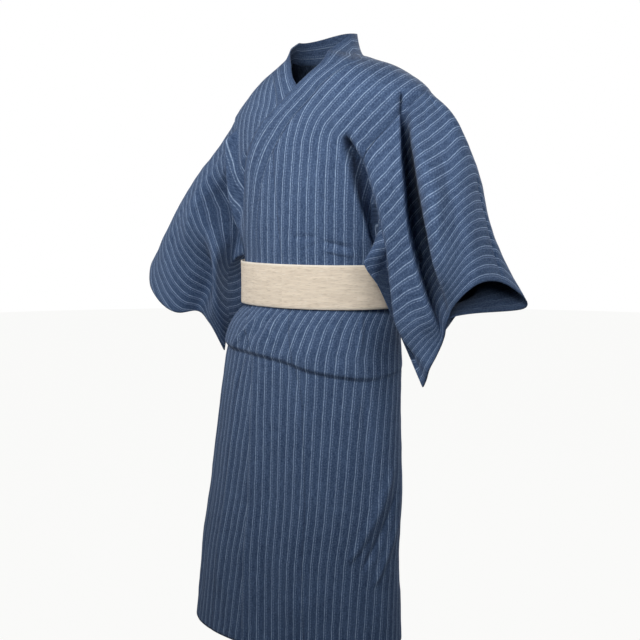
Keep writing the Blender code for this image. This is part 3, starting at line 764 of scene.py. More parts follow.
def finish_cloth(name, shape, wall, outer, inner, middle):
    """Makes the sheet a piece with a wall, in its node's place, its outer side away from middle(point)."""
    bmesh.ops.remove_doubles(shape, verts=shape.verts, dist=MERGE)
    bmesh.ops.recalc_face_normals(shape, faces=shape.faces)
    sample = list(shape.faces)[:: max(1, len(shape.faces) // FACING_SAMPLE)]
    spots = [(face.normal, face.calc_center_median()) for face in sample]
    if sum(normal.dot(spot - middle(spot)) for normal, spot in spots) < 0:
        bmesh.ops.reverse_faces(shape, faces=shape.faces)
    mesh = bpy.data.meshes.new(name + "_cloth")
    shape.to_mesh(mesh)
    shape.free()
    mesh.shade_smooth()
    mesh.materials.append(outer)
    mesh.materials.append(inner)
    made = bpy.data.objects.new(name + "_cloth", mesh)
    bpy.context.scene.collection.objects.link(made)
    thick = made.modifiers.new("Wall", "SOLIDIFY")
    thick.thickness = wall
    thick.offset = 0.0
    thick.material_offset = 1
    thick.material_offset_rim = 0
    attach(made, "root")
    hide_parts(name)
    return made


def axis_middle(point):
    """The point of the body's middle line beside this one."""
    return Vector((0.0, 0.0, point.z))


# ---------------------------------------------------------------- the body strips
def seam_sink(angle, edge):
    """How far the cloth turns in beside a sewn edge at this angle."""
    off = np.radians(np.abs(angle - edge)) * AROUND
    return SEAM_SINK * np.exp(-((off / SEAM_REACH) ** 2))


def front_limit(collar_seam, okumi_seam, level):
    """The angle where the body strip's front ends: at the collar, then at the overlap strip's seam."""
    collar = curve(collar_seam, level, "angle")
    return np.where(level > OKUMI_TOP, collar, np.maximum(collar, curve(okumi_seam, level, "angle")))


def body_strip(name, side, collar_seam, okumi_seam, layer, outer_cloth, inner_cloth):
    """One body strip: from the back hem, over the shoulder, to the front hem, with its armhole."""

    def lay(angle, level, edge, lift):
        armhole = (level < ARMHOLE_TOP) & (level > ARMHOLE_BOTTOM)
        points = body_point(side * angle, level, lift - ARMHOLE_SINK * seam_sink(angle, edge) * armhole)
        return points, robe_map(side, angle, level, points), level - HEM_LEVEL

    def front(across, row):
        level = ROWS[row]
        outer = armhole_edge(side, level, True)
        inner = front_limit(collar_seam, okumi_seam, level)
        angle = outer + (inner - outer) * across
        return lay(angle, level, outer, front_lift(angle, layer) - FRONT_SINK * seam_sink(angle, inner))

    def back(across, row):
        level = ROWS[row]
        outer = armhole_edge(side, level, False)
        inner = 180.0 - np.degrees(FINE_SEAM / curve(BODY_RINGS, level, "half_width"))
        angle = outer + (inner - outer) * across
        return lay(angle, level, outer, -BACK_SINK * seam_sink(angle, inner))

    shape = new_shape()
    add_grid(shape, FRONT_COLUMNS, len(ROWS) - 1, front)
    add_grid(shape, BACK_COLUMNS, len(ROWS) - 1, back)
    return finish_cloth(name, shape, CLOTH, outer_cloth, inner_cloth, axis_middle)


def okumi(name, side, collar_seam, okumi_seam, edge_line, layer, outer_cloth, inner_cloth):
    """The overlap strip: a blunt point under the collar that widens to the free front edge."""

    def place(across, row):
        row = np.maximum(OKUMI_ROW + row, OKUMI_ROW + OKUMI_BLUNT)
        level = np.interp(row, np.arange(len(ROWS)), ROWS)
        edge = curve(edge_line, level, "angle")
        inner = np.where(row <= COLLAR_ROW, curve(collar_seam, level, "angle"), edge)
        seam = np.maximum(front_limit(collar_seam, okumi_seam, level), inner)
        outer = seam - SEAM_TURN
        angle = outer + (inner - outer) * across
        lift = front_lift(angle, layer) - FRONT_SINK * seam_sink(angle, seam)
        points = body_point(side * angle, level, lift)
        to_edge = np.where(row > COLLAR_ROW, np.radians(angle - inner) * AROUND, NO_EDGE)
        return points, robe_map(side, angle, level, points), np.minimum(level - HEM_LEVEL, to_edge)

    shape = new_shape()
    add_grid(shape, OKUMI_COLUMNS, len(ROWS) - 1 - OKUMI_ROW, place)
    return finish_cloth(name, shape, CLOTH, outer_cloth, inner_cloth, axis_middle)


# ---------------------------------------------------------------- the collar
def collar_line(side, row):
    """Angle and level on the band's seam and free edge, beside these rows of the body."""
    level = ROWS[row]
    seam_angle = curve(LEFT_COLLAR_SEAM if side > 0 else RIGHT_COLLAR_SEAM, level, "angle")
    edge = LEFT_COLLAR_EDGE if side > 0 else RIGHT_COLLAR_EDGE
    lines = (side * (seam_angle - SEAM_TURN), level + FINE_SEAM)
    return np.stack([*lines, side * curve(edge, level, "angle"), curve(edge, level, "level")])


def nape_line(share):
    """The same behind the neck, from its left side (0) to its right side (1)."""
    seam_angle, seam_level, edge_angle, edge_level = collar_line(1, np.zeros(1, int))
    rise = np.sin(np.pi * share) ** 2
    seam_angle = seam_angle + (360 - 2 * seam_angle) * share
    edge_angle = edge_angle + (360 - 2 * edge_angle) * share
    edge_level = edge_level + (NAPE_EDGE - edge_level) * rise
    return np.stack([seam_angle, seam_level + 0 * share, edge_angle, edge_level])


def collar_band(outer_cloth, inner_cloth):
    """The collar: one long band from the left chest, round the nape, to the right chest."""
    rows = 2 * COLLAR_ROW + NAPE_STEPS

    def place(across, row):
        left = collar_line(1, np.clip(COLLAR_ROW - row, 0, COLLAR_ROW))
        nape = nape_line((row - COLLAR_ROW) / NAPE_STEPS)
        right = collar_line(-1, np.clip(row - COLLAR_ROW - NAPE_STEPS, 0, COLLAR_ROW))
        lines = np.where(row <= COLLAR_ROW, left, np.where(row < COLLAR_ROW + NAPE_STEPS, nape, right))
        seam_angle, seam_level, edge_angle, edge_level = lines
        angle = seam_angle + (edge_angle - seam_angle) * across
        level = seam_level + (edge_level - seam_level) * across
        swell = COLLAR_SWELL * np.sin(np.pi * np.clip(across, 0.0, 1.0))
        lift = front_lift(angle, np.where(row <= COLLAR_ROW, LAYER, 0.0)) + swell
        points = body_point(angle, level, lift)
        cloth_map = np.stack([COLLAR_PHASE + COLLAR_WIDTH * across, COLLAR_LENGTH * row / rows], axis=1)
        return points, cloth_map, np.full_like(across, NO_EDGE)

    shape = new_shape()
    add_grid(shape, COLLAR_COLUMNS, rows, place)
    return finish_cloth("collar", shape, BAND, outer_cloth, inner_cloth, axis_middle)


# ---------------------------------------------------------------- the sleeves
def armhole_point(side, share):
    """Points of the sleeve's seam, just under the armhole's edge: share runs from its top (0) to its foot."""
    size = np.abs(share)
    under = math.degrees(SLEEVE_UNDER / AROUND) * np.minimum(1.0, (1 - size) / SLEEVE_UNDER_FADE)
    level = ARMHOLE_TOP + (ARMHOLE_BOTTOM - ARMHOLE_TOP) * size
    half = armhole_half(size) + under
    angle = 90.0 - np.copysign(np.where(size < 1, half, 0.0), share)
    if side > 0:
        seam_level = curve(LEFT_FRONT_SEAM, size, "level")
        seam_angle = np.minimum(armhole_edge(side, seam_level, True) - under, 90.0)
        level = np.where(share > 0, seam_level, level)
        angle = np.where(share > 0, seam_angle, angle)
    return body_point(side * angle, level, np.full_like(angle, -SLEEVE_SINK), fine=False)


def sleeve_point(rails, side, along, share):
    """Points of the sleeve: along from armhole (0) to cuff (1), share from the top (0) to the bottom."""
    stretch = [armhole_point(side, share)]
    shares = [rail.share for rail in rails]
    ring_shares = [shares[-2] - 2, -1.0, *shares, 2 + shares[0]]
    for station in ("near", "upper", "lower", "cuff"):
        points = [getattr(rail, station) for rail in rails]
        stretch.append(through(ring_shares, [points[-2], points[-1], *points, points[0]], share))
    return through(STATIONS, stretch, along)


def sleeve_form(rails, side, along, share, last_step):
    """Points of the sleeve, closed along its bottom and below the cuff opening."""
    point = sleeve_point(rails, side, along, share)
    size = np.abs(share)
    sewn = blend(SEWN_FROM, 1.0, along) * blend(*CUFF_CLOSE, size)
    other = sleeve_point(rails, side, along, size)
    point = point + (other - point) * (np.where(share < 0, sewn, 0.0))[:, None]
    apart = np.minimum(1.0, (1 - size) / last_step)
    point[:, 1] -= np.copysign(CUFF_LIPS / 2, share) * sewn * apart
    return point


def arm_middle(point):
    """The point inside the sleeve beside this one."""
    share = min(max((abs(point.x) - ARM_FROM[0]) / ARM_RUN[0], 0.0), 1.0)
    return Vector((point.x, ARM_FROM[1] + ARM_RUN[1] * share, ARM_FROM[2] + ARM_RUN[2] * share))


def sleeve(name, rails, side, creases, width, outer_cloth, inner_cloth):
    """One sleeve: a sheet folded over the arm."""
    last_step = 1 - float(armhole_share(1 - 1 / ARMHOLE_STEPS))
    creases = [in_metres(fold, SLEEVE_DEPTH, width) for fold in creases]

    def form(along, share):
        along, share = np.clip(along, 0, 1), np.clip(share, -1, 1)
        return sleeve_form(rails, side, along, share, last_step)

    def outwards(along, share):
        beyond = form(along + NORMAL_SHARE, share) - form(along - NORMAL_SHARE, share)
        beside = form(along, share + NORMAL_SHARE) - form(along, share - NORMAL_SHARE)
        normal = np.cross(beyond, beside)
        return side * normal / np.maximum(np.linalg.norm(normal, axis=1, keepdims=True), TINY)

    def place(across, row):
        along = row / SLEEVE_STEPS
        share = np.copysign(armhole_share(np.abs(2 * across - 1)), across - 0.5)
        points = form(along, share)
        free = blend(*SLEEVE_FREE_ALONG, along) * blend(*SLEEVE_FREE_BOTTOM, 1 - np.abs(share))
        free = free * (1 - CUFF_CALM * blend(*CUFF_CALM_FROM, along))
        lift = fold_height(creases, share * SLEEVE_DEPTH, along * width)
        lift = lift + SLEEVE_WRINKLE * wrinkle(points, SLEEVE_WRINKLE_SIZE)
        points = points + outwards(along, share) * (lift * free)[:, None]
        if side > 0:
            start = FOOT_START * blend(*FOOT_START_FROM, np.abs(share))
            map_across = start + (width - start) * along
        else:
            map_across = width * along - SLEEVE_LEAN * along * blend(*SLEEVE_LEAN_FROM, share)
        return points, np.stack([map_across, share * SLEEVE_DEPTH], axis=1), (1 - along) * width

    shape = new_shape()
    add_grid(shape, 2 * ARMHOLE_STEPS, SLEEVE_STEPS, place)
    return finish_cloth(name, shape, CLOTH, outer_cloth, inner_cloth, arm_middle)


# ---------------------------------------------------------------- the obi
def obi_wrap(cream):
    """The obi: a flat band closed round the waist."""

    def place(across, row):
        share = row / OBI_ROWS
        level = OBI_BOTTOM + OBI_WIDTH * share
        angle = 360.0 * across
        ripple = OBI_RIPPLE * np.sin(np.radians(OBI_WAVES * angle)) * (2 * share - 1) ** 2
        flare = OBI_FLARE * np.exp(-(((angle - OBI_FLARE_ANGLE) / OBI_FLARE_WIDTH) ** 2))
        lift = OBI_LIFT + ripple + flare * blend(*OBI_FLARE_FROM, share)
        points = body_point(angle, level, lift, fine=False)
        cloth_map = np.stack([np.radians(angle) * AROUND, level], axis=1)
        return points, cloth_map, np.minimum(share, 1 - share) * OBI_WIDTH

    shape = new_shape()
    add_grid(shape, OBI_COLUMNS, OBI_ROWS, place)
    return finish_cloth("obi_wrap", shape, OBI_WALL, cream, cream, axis_middle)


def knot_strap(strap, cream):
    """One flat strap of the knot, lying on what is under it behind the waist."""
    turn = math.radians(strap.turn)
    under = OBI_LIFT + strap.over * (OBI_WALL + SNUG)

    def place(across, row):
        share = row / STRAP_STEPS
        beside = (across - 0.5) * strap.width
        beyond = (share - 0.5) * strap.length
        x = strap.across + beside * math.cos(turn) - beyond * math.sin(turn)
        level = strap.level + beside * math.sin(turn) + beyond * math.cos(turn)
        swell = strap.swell * np.sin(math.pi * share) + STRAP_ROUND * np.sqrt(np.sin(math.pi * across))
        points = body_point(180.0 + np.degrees(x / AROUND), level, under + swell, fine=False)
        return points, np.stack([beyond, beside], axis=1), np.minimum(across, 1 - across) * strap.width

    shape = new_shape()
    add_grid(shape, STRAP_COLUMNS, STRAP_STEPS, place)
    return finish_cloth(strap.name, shape, OBI_WALL, cream, cream, axis_middle)


# ---------------------------------------------------------------- shader helpers
FLOAT = "NodeSocketFloat"
COLOUR = "NodeSocketColor"


def node(tree, kind, inputs, output=0, **settings):
    """Adds a node, with its settings and its inputs from sockets or plain values, and gives one output."""
    made = tree.nodes.new(kind)
    for key, value in settings.items():
        setattr(made, key, value)
    for key, value in inputs.items():
        if isinstance(value, bpy.types.NodeSocket):
            tree.links.new(value, made.inputs[key])
        else:
            made.inputs[key].default_value = value
    return made.outputs[output]


def maths(tree, operation, first, second=0.0):
    """One sum on two values."""
    return node(tree, "ShaderNodeMath", {0: first, 1: second}, operation=operation)


def plus(tree, first, second):
    """The two values added."""
    return maths(tree, "ADD", first, second)


def less(tree, first, second):
    """The first value with the second taken away."""
    return maths(tree, "SUBTRACT", first, second)


def times(tree, first, second):
    """The two values multiplied."""
    return maths(tree, "MULTIPLY", first, second)


def wave(tree, value, pitch):
    """A wave from -1 to 1 that comes back at each pitch."""
    return maths(tree, "SINE", times(tree, value, 2 * math.pi / pitch))


def mixed(tree, factor, first, second):
    """One colour over another: a Mix node takes its colours in sockets 6 and 7, and gives one in 2."""
    return node(tree, "ShaderNodeMix", {0: factor, 6: first, 7: second}, 2, data_type="RGBA")


def ramp(tree, value, low, high, at_low=0.0, at_high=1.0):
    """A smooth step of this value."""
    limits = {0: value, 1: low, 2: high, 3: at_low, 4: at_high}
    return node(tree, "ShaderNodeMapRange", limits, interpolation_type="SMOOTHSTEP")


def streaks(tree, first, second, per_first, per_second, detail=2.0):
    """Noise stretched along the weave's two directions, in marks for each metre of each."""
    place = {0: times(tree, first, per_first), 1: times(tree, second, per_second)}
    vector = node(tree, "ShaderNodeCombineXYZ", place)
    return node(tree, "ShaderNodeTexNoise", {"Vector": vector, "Scale": 1.0, "Detail": detail})


def off_line(tree, across, spacing, phase):
    """Metres from the middle of the nearest repeated line."""
    turn = plus(tree, maths(tree, "DIVIDE", across, spacing), 0.5 - phase)
    off = less(tree, maths(tree, "FRACT", turn), 0.5)
    return times(tree, maths(tree, "ABSOLUTE", off), spacing)


def built_once(name, make_group):
    """The node group of this name, made when it is first asked for."""
    return bpy.data.node_groups.get(name) or make_group(name)


def new_group(name, inputs):
    """An empty node group with these inputs, their sockets, and a function that links its three outputs."""
    group = bpy.data.node_groups.new(name, "ShaderNodeTree")
    for label, kind, value in inputs:
        group.interface.new_socket(name=label, in_out="INPUT", socket_type=kind).default_value = value
    for label, kind in (("Colour", COLOUR), ("Roughness", FLOAT), ("Height", FLOAT)):
        group.interface.new_socket(name=label, in_out="OUTPUT", socket_type=kind)
    start, end = group.nodes.new("NodeGroupInput"), group.nodes.new("NodeGroupOutput")

    def finish(colour, roughness, height):
        for label, socket in (("Colour", colour), ("Roughness", roughness), ("Height", height)):
            group.links.new(socket, end.inputs[label])
        return group

    return group, start.outputs, finish


YARN = 0.0011  # pitch of the cotton's weave
DOTS = 0.0062  # pitch of the dots in the dotted line
CRISP = (0.0003, 0.0011)  # from a line's middle, where the crisp and the dotted line begin and end to fade
DOTTED = (0.0004, 0.0011)
BRIGHT_BAND = (0.0015, 0.0062)  # and the lighter ground beside them
CRISP_PHASE = 0.0  # places of the three in each repeat
BAND_PHASE = 0.10
DOTTED_PHASE = 0.24
DRIFT = 0.0034  # how far the yarns wander sideways
HEM_STEP = 0.0006  # half the width of the step down from the turned hem
RIBS = 0.0022  # pitch of the obi's ribs
OBI_BORDER = (0.0030, 0.0042)  # from the obi's edge, where its pale border ends
OBI_GROOVE = 0.0040  # and where a groove runs beside it, and that groove's half width
OBI_GROOVE_HALF = 0.0009


def striped_cotton_group(name):
    """Heathered cotton with a fine light line and a dotted one beside it at each repeat."""
    inputs = (
        ("Across", FLOAT, 0.0),
        ("Along", FLOAT, 0.0),
        ("Edge", FLOAT, NO_EDGE),
        ("Spacing", FLOAT, 0.0202),
        ("Line", FLOAT, 1.0),
        ("Hem", FLOAT, 0.012),
        ("Dark ground", COLOUR, (0.05, 0.08, 0.15, 1.0)),
        ("Light ground", COLOUR, (0.10, 0.15, 0.25, 1.0)),
        ("Thread", COLOUR, (0.3, 0.4, 0.6, 1.0)),
    )
    group, value, finish = new_group(name, inputs)
    along, spacing = value["Along"], value["Spacing"]
    drift = less(group, streaks(group, value["Across"], along, 14.0, 34.0), 0.5)
    across = plus(group, value["Across"], times(group, drift, DRIFT))

    threads = ramp(group, streaks(group, across, along, 760.0, 60.0), 0.32, 0.70)
    flecks = ramp(group, streaks(group, across, along, 240.0, 300.0), 0.38, 0.66)
    clouds = less(group, streaks(group, across, along, 26.0, 9.0), 0.5)
    heather = plus(group, times(group, threads, 0.55), times(group, flecks, 0.45))
    heather = plus(group, heather, times(group, clouds, 0.5))
    ground = mixed(group, heather, value["Dark ground"], value["Light ground"])

    band = ramp(group, off_line(group, across, spacing, BAND_PHASE), *BRIGHT_BAND, 0.30, 0.0)
    ground = mixed(group, times(group, band, value["Line"]), ground, value["Light ground"])

    wear = ramp(group, streaks(group, across, along, 60.0, 170.0), 0.30, 0.60, 0.40, 1.0)
    crisp = ramp(group, off_line(group, across, spacing, CRISP_PHASE), *CRISP, 1.0, 0.0)
    crisp = times(group, crisp, wear)
    beat = plus(group, wave(group, along, DOTS), streaks(group, across, along, 20.0, 60.0))
    dots = ramp(group, beat, 0.0, 1.2, 0.25, 1.0)
    dotted = ramp(group, off_line(group, across, spacing, DOTTED_PHASE), *DOTTED, 0.46, 0.0)
    dotted = times(group, dotted, dots)
    line = times(group, maths(group, "MAXIMUM", crisp, dotted), value["Line"])
    colour = mixed(group, line, ground, value["Thread"])

    weave = times(group, times(group, wave(group, along, YARN), wave(group, across, YARN)), 0.35)
    hem = ramp(group, less(group, value["Edge"], value["Hem"]), -HEM_STEP, HEM_STEP, 1.6, 0.0)
    height = plus(group, plus(group, weave, hem), times(group, heather, 0.7))
    height = plus(group, height, times(group, line, 0.5))
    return finish(colour, ramp(group, heather, 0.0, 1.0, 0.94, 0.80), height)


def slub_weave_group(name):
    """Cream plain weave with short slubs along the band and pale woven edges."""
    inputs = (
        ("Along", FLOAT, 0.0),
        ("Across", FLOAT, 0.0),
        ("Edge", FLOAT, NO_EDGE),
        ("Ground", COLOUR, (0.7, 0.6, 0.5, 1.0)),
        ("Slub", COLOUR, (0.5, 0.4, 0.3, 1.0)),
        ("Pale", COLOUR, (0.8, 0.7, 0.6, 1.0)),
    )
    group, value, finish = new_group(name, inputs)
    along, across = value["Along"], value["Across"]
    dashes = ramp(group, streaks(group, along, across, 55.0, 520.0, 3.0), 0.50, 0.72)
    pale = ramp(group, streaks(group, along, across, 80.0, 640.0), 0.56, 0.75, 0.0, 0.8)
    shade = ramp(group, streaks(group, along, across, 18.0, 160.0), 0.3, 0.7, 0.0, 0.35)
    colour = mixed(group, times(group, dashes, 0.75), value["Ground"], value["Slub"])
    colour = mixed(group, shade, colour, value["Slub"])
    colour = mixed(group, pale, colour, value["Pale"])
    border = ramp(group, value["Edge"], *OBI_BORDER, 0.65, 0.0)
    colour = mixed(group, border, colour, value["Pale"])

    height = plus(group, times(group, wave(group, across, RIBS), 0.30), times(group, dashes, 0.8))
    off_groove = maths(group, "ABSOLUTE", less(group, value["Edge"], OBI_GROOVE))
    height = plus(group, height, ramp(group, off_groove, 0.0, OBI_GROOVE_HALF, -0.9, 0.0))
    return finish(colour, ramp(group, dashes, 0.0, 1.0, 0.86, 0.74), height)


BUMP_STRENGTH = 0.6
SHEEN_ROUGHNESS = 0.45
SPECULAR = 0.25
OBI_SHEEN = 0.1
WRONG_SIDE = 0.62  # the wrong side's shade, as a share of the right side's
COLLAR_SHADE = 0.97  # the same for the collar and its wrong side, and how strongly the stripes show inside it
COLLAR_WRONG_SIDE = 0.70
COLLAR_INSIDE = 0.6


def cloth_material(name, group, values, relief, sheen):
    """A woven finish that reads the piece's own map and its distance to the free edge."""
    if name in bpy.data.materials:
        return bpy.data.materials[name]
    made = bpy.data.materials.new(name)
    made.use_nodes = True
    tree = made.node_tree
    shader = tree.nodes["Principled BSDF"]
    apart = tree.nodes.new("ShaderNodeSeparateXYZ")
    tree.links.new(node(tree, "ShaderNodeUVMap", {}, uv_map="Cloth"), apart.inputs[0])
    weave = tree.nodes.new("ShaderNodeGroup")
    weave.node_tree = group
    tree.links.new(apart.outputs[0], weave.inputs[0])
    tree.links.new(apart.outputs[1], weave.inputs[1])
    edge = node(tree, "ShaderNodeAttribute", {}, "Fac", attribute_name="edge")
    tree.links.new(edge, weave.inputs["Edge"])
    for label, value in values.items():
        weave.inputs[label].default_value = value
    tree.links.new(weave.outputs["Colour"], shader.inputs["Base Color"])
    tree.links.new(weave.outputs["Roughness"], shader.inputs["Roughness"])
    relief_inputs = {"Strength": BUMP_STRENGTH, "Distance": relief, "Height": weave.outputs["Height"]}
    tree.links.new(node(tree, "ShaderNodeBump", relief_inputs), shader.inputs["Normal"])
    shader.inputs["Sheen Weight"].default_value = sheen
    shader.inputs["Sheen Roughness"].default_value = SHEEN_ROUGHNESS
    shader.inputs["Specular IOR Level"].default_value = SPECULAR
    return made


def full(colour, shade=1.0):
    """This colour, darker or lighter, with full alpha."""
    return (*(part * shade for part in colour), 1.0)


def cotton(name, settings, shade, line):
    """The striped cotton, at this shade and with this strength of its lines."""
    values = {
        "Spacing": settings.stripe_spacing,
        "Line": line,
        "Hem": settings.hem_width,
        "Dark ground": full(settings.dark_ground, shade),
        "Light ground": full(settings.light_ground, shade),
        "Thread": full(settings.thread, shade),
    }
    group = built_once("Striped cotton", striped_cotton_group)
    return cloth_material(name, group, values, settings.relief, settings.sheen)


def robe_cottons(settings):
    """The cotton's right side and its wrong side."""
    outer = cotton("indigo cotton", settings, 1.0, 1.0)
    return outer, cotton("indigo cotton, wrong side", settings, WRONG_SIDE, settings.inside)


def cream_weave(settings):
    """The obi's cream slub weave."""
    values = {"Ground": full(settings.ground), "Slub": full(settings.slub), "Pale": full(settings.pale)}
    group = built_once("Slub weave", slub_weave_group)
    return cloth_material("cream slub weave", group, values, settings.relief, OBI_SHEEN)


# ---------------------------------------------------------------- settings
def cloth_colour(label, description, colour):
    """A colour setting."""
    kind = {"subtype": "COLOR", "min": 0.0, "max": 1.0, "size": 3}
    return bpy.props.FloatVectorProperty(name=label, description=description, default=colour, **kind)


def measure(label, description, metres):
    """A length setting."""
    kind = {"unit": "LENGTH", "precision": 4}
    return bpy.props.FloatProperty(name=label, description=description, default=metres, **kind)


def strength(label, description, amount):
    """A setting from 0 to 1."""
    kind = {"subtype": "FACTOR", "min": 0.0, "max": 1.0}
    return bpy.props.FloatProperty(name=label, description=description, default=amount, **kind)


def turn_setting(label, description, radians):
    """An angle setting."""
    return bpy.props.FloatProperty(name=label, description=description, default=radians, subtype="ANGLE")


class YukataCotton(bpy.types.PropertyGroup):
    """The robe's striped cotton."""

    stripe_spacing: measure("Stripe spacing", "From one light line to the next", 0.0202)
    hem_width: measure("Hem width", "Depth of the turned and sewn hem", 0.014)
    relief: measure("Relief", "Height of the weave's relief", 0.0005)
    dark_ground: cloth_colour("Dark ground", "The darker yarns of the ground", (0.027, 0.051, 0.112))
    light_ground: cloth_colour("Light ground", "The lighter yarns of the ground", (0.093, 0.149, 0.268))
    thread: cloth_colour("Thread", "The light thread of the stripes", (0.350, 0.455, 0.630))
    inside: strength("Inside", "How strongly the stripes show on the wrong side", 0.30)
    sheen: strength("Sheen", "Soft light that the fibres catch at their edges", 0.04)


class YukataObi(bpy.types.PropertyGroup):
    """The belt's cream weave."""

    relief: measure("Relief", "Height of the weave's relief", 0.0006)
    ground: cloth_colour("Ground", "The cream ground", (0.905, 0.775, 0.620))
    slub: cloth_colour("Slub", "The darker slubs", (0.600, 0.480, 0.360))
    pale: cloth_colour("Pale", "The palest yarns and the woven edge", (0.930, 0.850, 0.740))


class YukataStudio(bpy.types.PropertyGroup):
    """The plain studio round the robe."""

    camera_turn: turn_setting("Camera turn", "From in front towards the wearer's left", math.radians(35.0))
    camera_reach: measure("Camera reach", "Level distance from the camera to the body's middle line", 2.600)
    camera_level: measure("Camera level", "Height of the camera over the robe's origin", -0.307)
    camera_dip: turn_setting("Camera dip", "How far the camera looks down", math.atan(123 / 1144))
    lens: bpy.props.FloatProperty(name="Lens", description="Focal length", default=64.35, unit="CAMERA")
    floor_level: measure("Floor level", "Height of the floor", -1.420)
    floor: cloth_colour("Floor", "The pale floor", (0.98, 0.98, 0.97))


# ---------------------------------------------------------------- operators
class YukataOperator:
    """What the operators of this add-on share."""

    bl_options = {"REGISTER", "UNDO"}


class YUKATA_OT_body(YukataOperator, bpy.types.Operator):
    """Make the two body strips"""

    bl_idname = "yukata.body"
    bl_label = "Body strips"

    def execute(self, context):
        cottons = robe_cottons(context.scene.yukata_cotton)
        left = body_strip("body_left", 1, LEFT_COLLAR_SEAM, LEFT_OKUMI_SEAM, LAYER, *cottons)
        right = body_strip("body_right", -1, RIGHT_COLLAR_SEAM, RIGHT_OKUMI_SEAM, 0.0, *cottons)
        return {"FINISHED"}


class YUKATA_OT_okumi(YukataOperator, bpy.types.Operator):
    """Make the two front overlap strips"""

    bl_idname = "yukata.okumi"
    bl_label = "Overlap strips"

    def execute(self, context):
        cottons = robe_cottons(context.scene.yukata_cotton)
        lines = (LEFT_COLLAR_SEAM, LEFT_OKUMI_SEAM, LEFT_FRONT_EDGE)
        left = okumi("okumi_left", 1, *lines, LAYER, *cottons)
        lines = (RIGHT_COLLAR_SEAM, RIGHT_OKUMI_SEAM, RIGHT_FRONT_EDGE)
        right = okumi("okumi_right", -1, *lines, 0.0, *cottons)
        return {"FINISHED"}


class YUKATA_OT_collar(YukataOperator, bpy.types.Operator):
    """Make the collar band"""

    bl_idname = "yukata.collar"
    bl_label = "Collar"

    def execute(self, context):
        settings = context.scene.yukata_cotton
        outer = cotton("indigo cotton, collar", settings, COLLAR_SHADE, 1.0)
        inner = cotton("indigo cotton, collar's wrong side", settings, COLLAR_WRONG_SIDE, COLLAR_INSIDE)
        band = collar_band(outer, inner)
        return {"FINISHED"}


class YUKATA_OT_sleeves(YukataOperator, bpy.types.Operator):
    """Make the two sleeves"""

    bl_idname = "yukata.sleeves"
    bl_label = "Sleeves"

    def execute(self, context):
        cottons = robe_cottons(context.scene.yukata_cotton)
        left = sleeve("sleeve_left", LEFT_SLEEVE, 1, LEFT_SLEEVE_CREASES, LEFT_WIDTH, *cottons)
        right = sleeve("sleeve_right", RIGHT_SLEEVE, -1, RIGHT_SLEEVE_CREASES, RIGHT_WIDTH, *cottons)
        return {"FINISHED"}


class YUKATA_OT_obi(YukataOperator, bpy.types.Operator):
    """Make the obi and its flat knot"""

    bl_idname = "yukata.obi"
    bl_label = "Obi"

    def execute(self, context):
        cream = cream_weave(context.scene.yukata_obi)
        band = obi_wrap(cream)
        for strap in KNOT_STRAPS:
            made = knot_strap(strap, cream)
        return {"FINISHED"}


FLOOR_RADIUS = 9.0
FLOOR_STEPS = 96
FLOOR_CAST = 0.20  # how much of its paleness the floor throws back onto the cloth
FLOOR_GLOW = 0.97  # how evenly white it looks
FLOOR_ROUGHNESS = 0.9
ROOM_SEEN = (1.0, 1.0, 1.0, 1.0)  # the room's colour where it is seen
ROOM_CAST = (0.62, 0.82, 1.0, 1.0)  # the colour of its light on the cloth, and how strong that is
ROOM_STRENGTH = 0.10
SENSOR = 36.0
Light = namedtuple("Light", "name place aim size watts")
LIGHTS = table(
    Light,
    ("Key", (0.30, -1.20, 0.20), (0.0, 0.0, 0.02), 0.8, 16.2),
    ("Fill", (1.35, -0.20, 0.10), (0.1, 0.0, -0.20), 0.9, 7.2),
    ("Side", (-1.35, -0.60, 0.10), (0.0, 0.0, -0.25), 0.9, 9.5),
    ("Behind", (0.0, 1.90, 0.60), (0.0, 0.0, -0.5), 1.6, 40.0),
)


def studio_light(light):
    """A soft square light, turned to its aim."""
    data = bpy.data.lights.new(light.name, "AREA")
    data.size = light.size
    data.energy = light.watts
    made = bpy.data.objects.new(light.name, data)
    made.location = light.place
    made.rotation_euler = (Vector(light.aim) - Vector(light.place)).to_track_quat("-Z", "Y").to_euler()
    made.visible_camera = False
    bpy.context.scene.collection.objects.link(made)


def add_camera(settings):
    """The camera, at eye height in front and to the wearer's left."""
    back = Vector((math.sin(settings.camera_turn), -math.cos(settings.camera_turn), 0.0))
    ahead = -back * math.cos(settings.camera_dip) - Vector((0, 0, math.sin(settings.camera_dip)))
    data = bpy.data.cameras.new("Camera")
    data.lens = settings.lens
    data.sensor_width = SENSOR
    made = bpy.data.objects.new("Camera", data)
    made.location = back * settings.camera_reach + Vector((0, 0, settings.camera_level))
    made.rotation_euler = ahead.to_track_quat("-Z", "Y").to_euler()
    bpy.context.scene.collection.objects.link(made)
    bpy.context.scene.camera = made


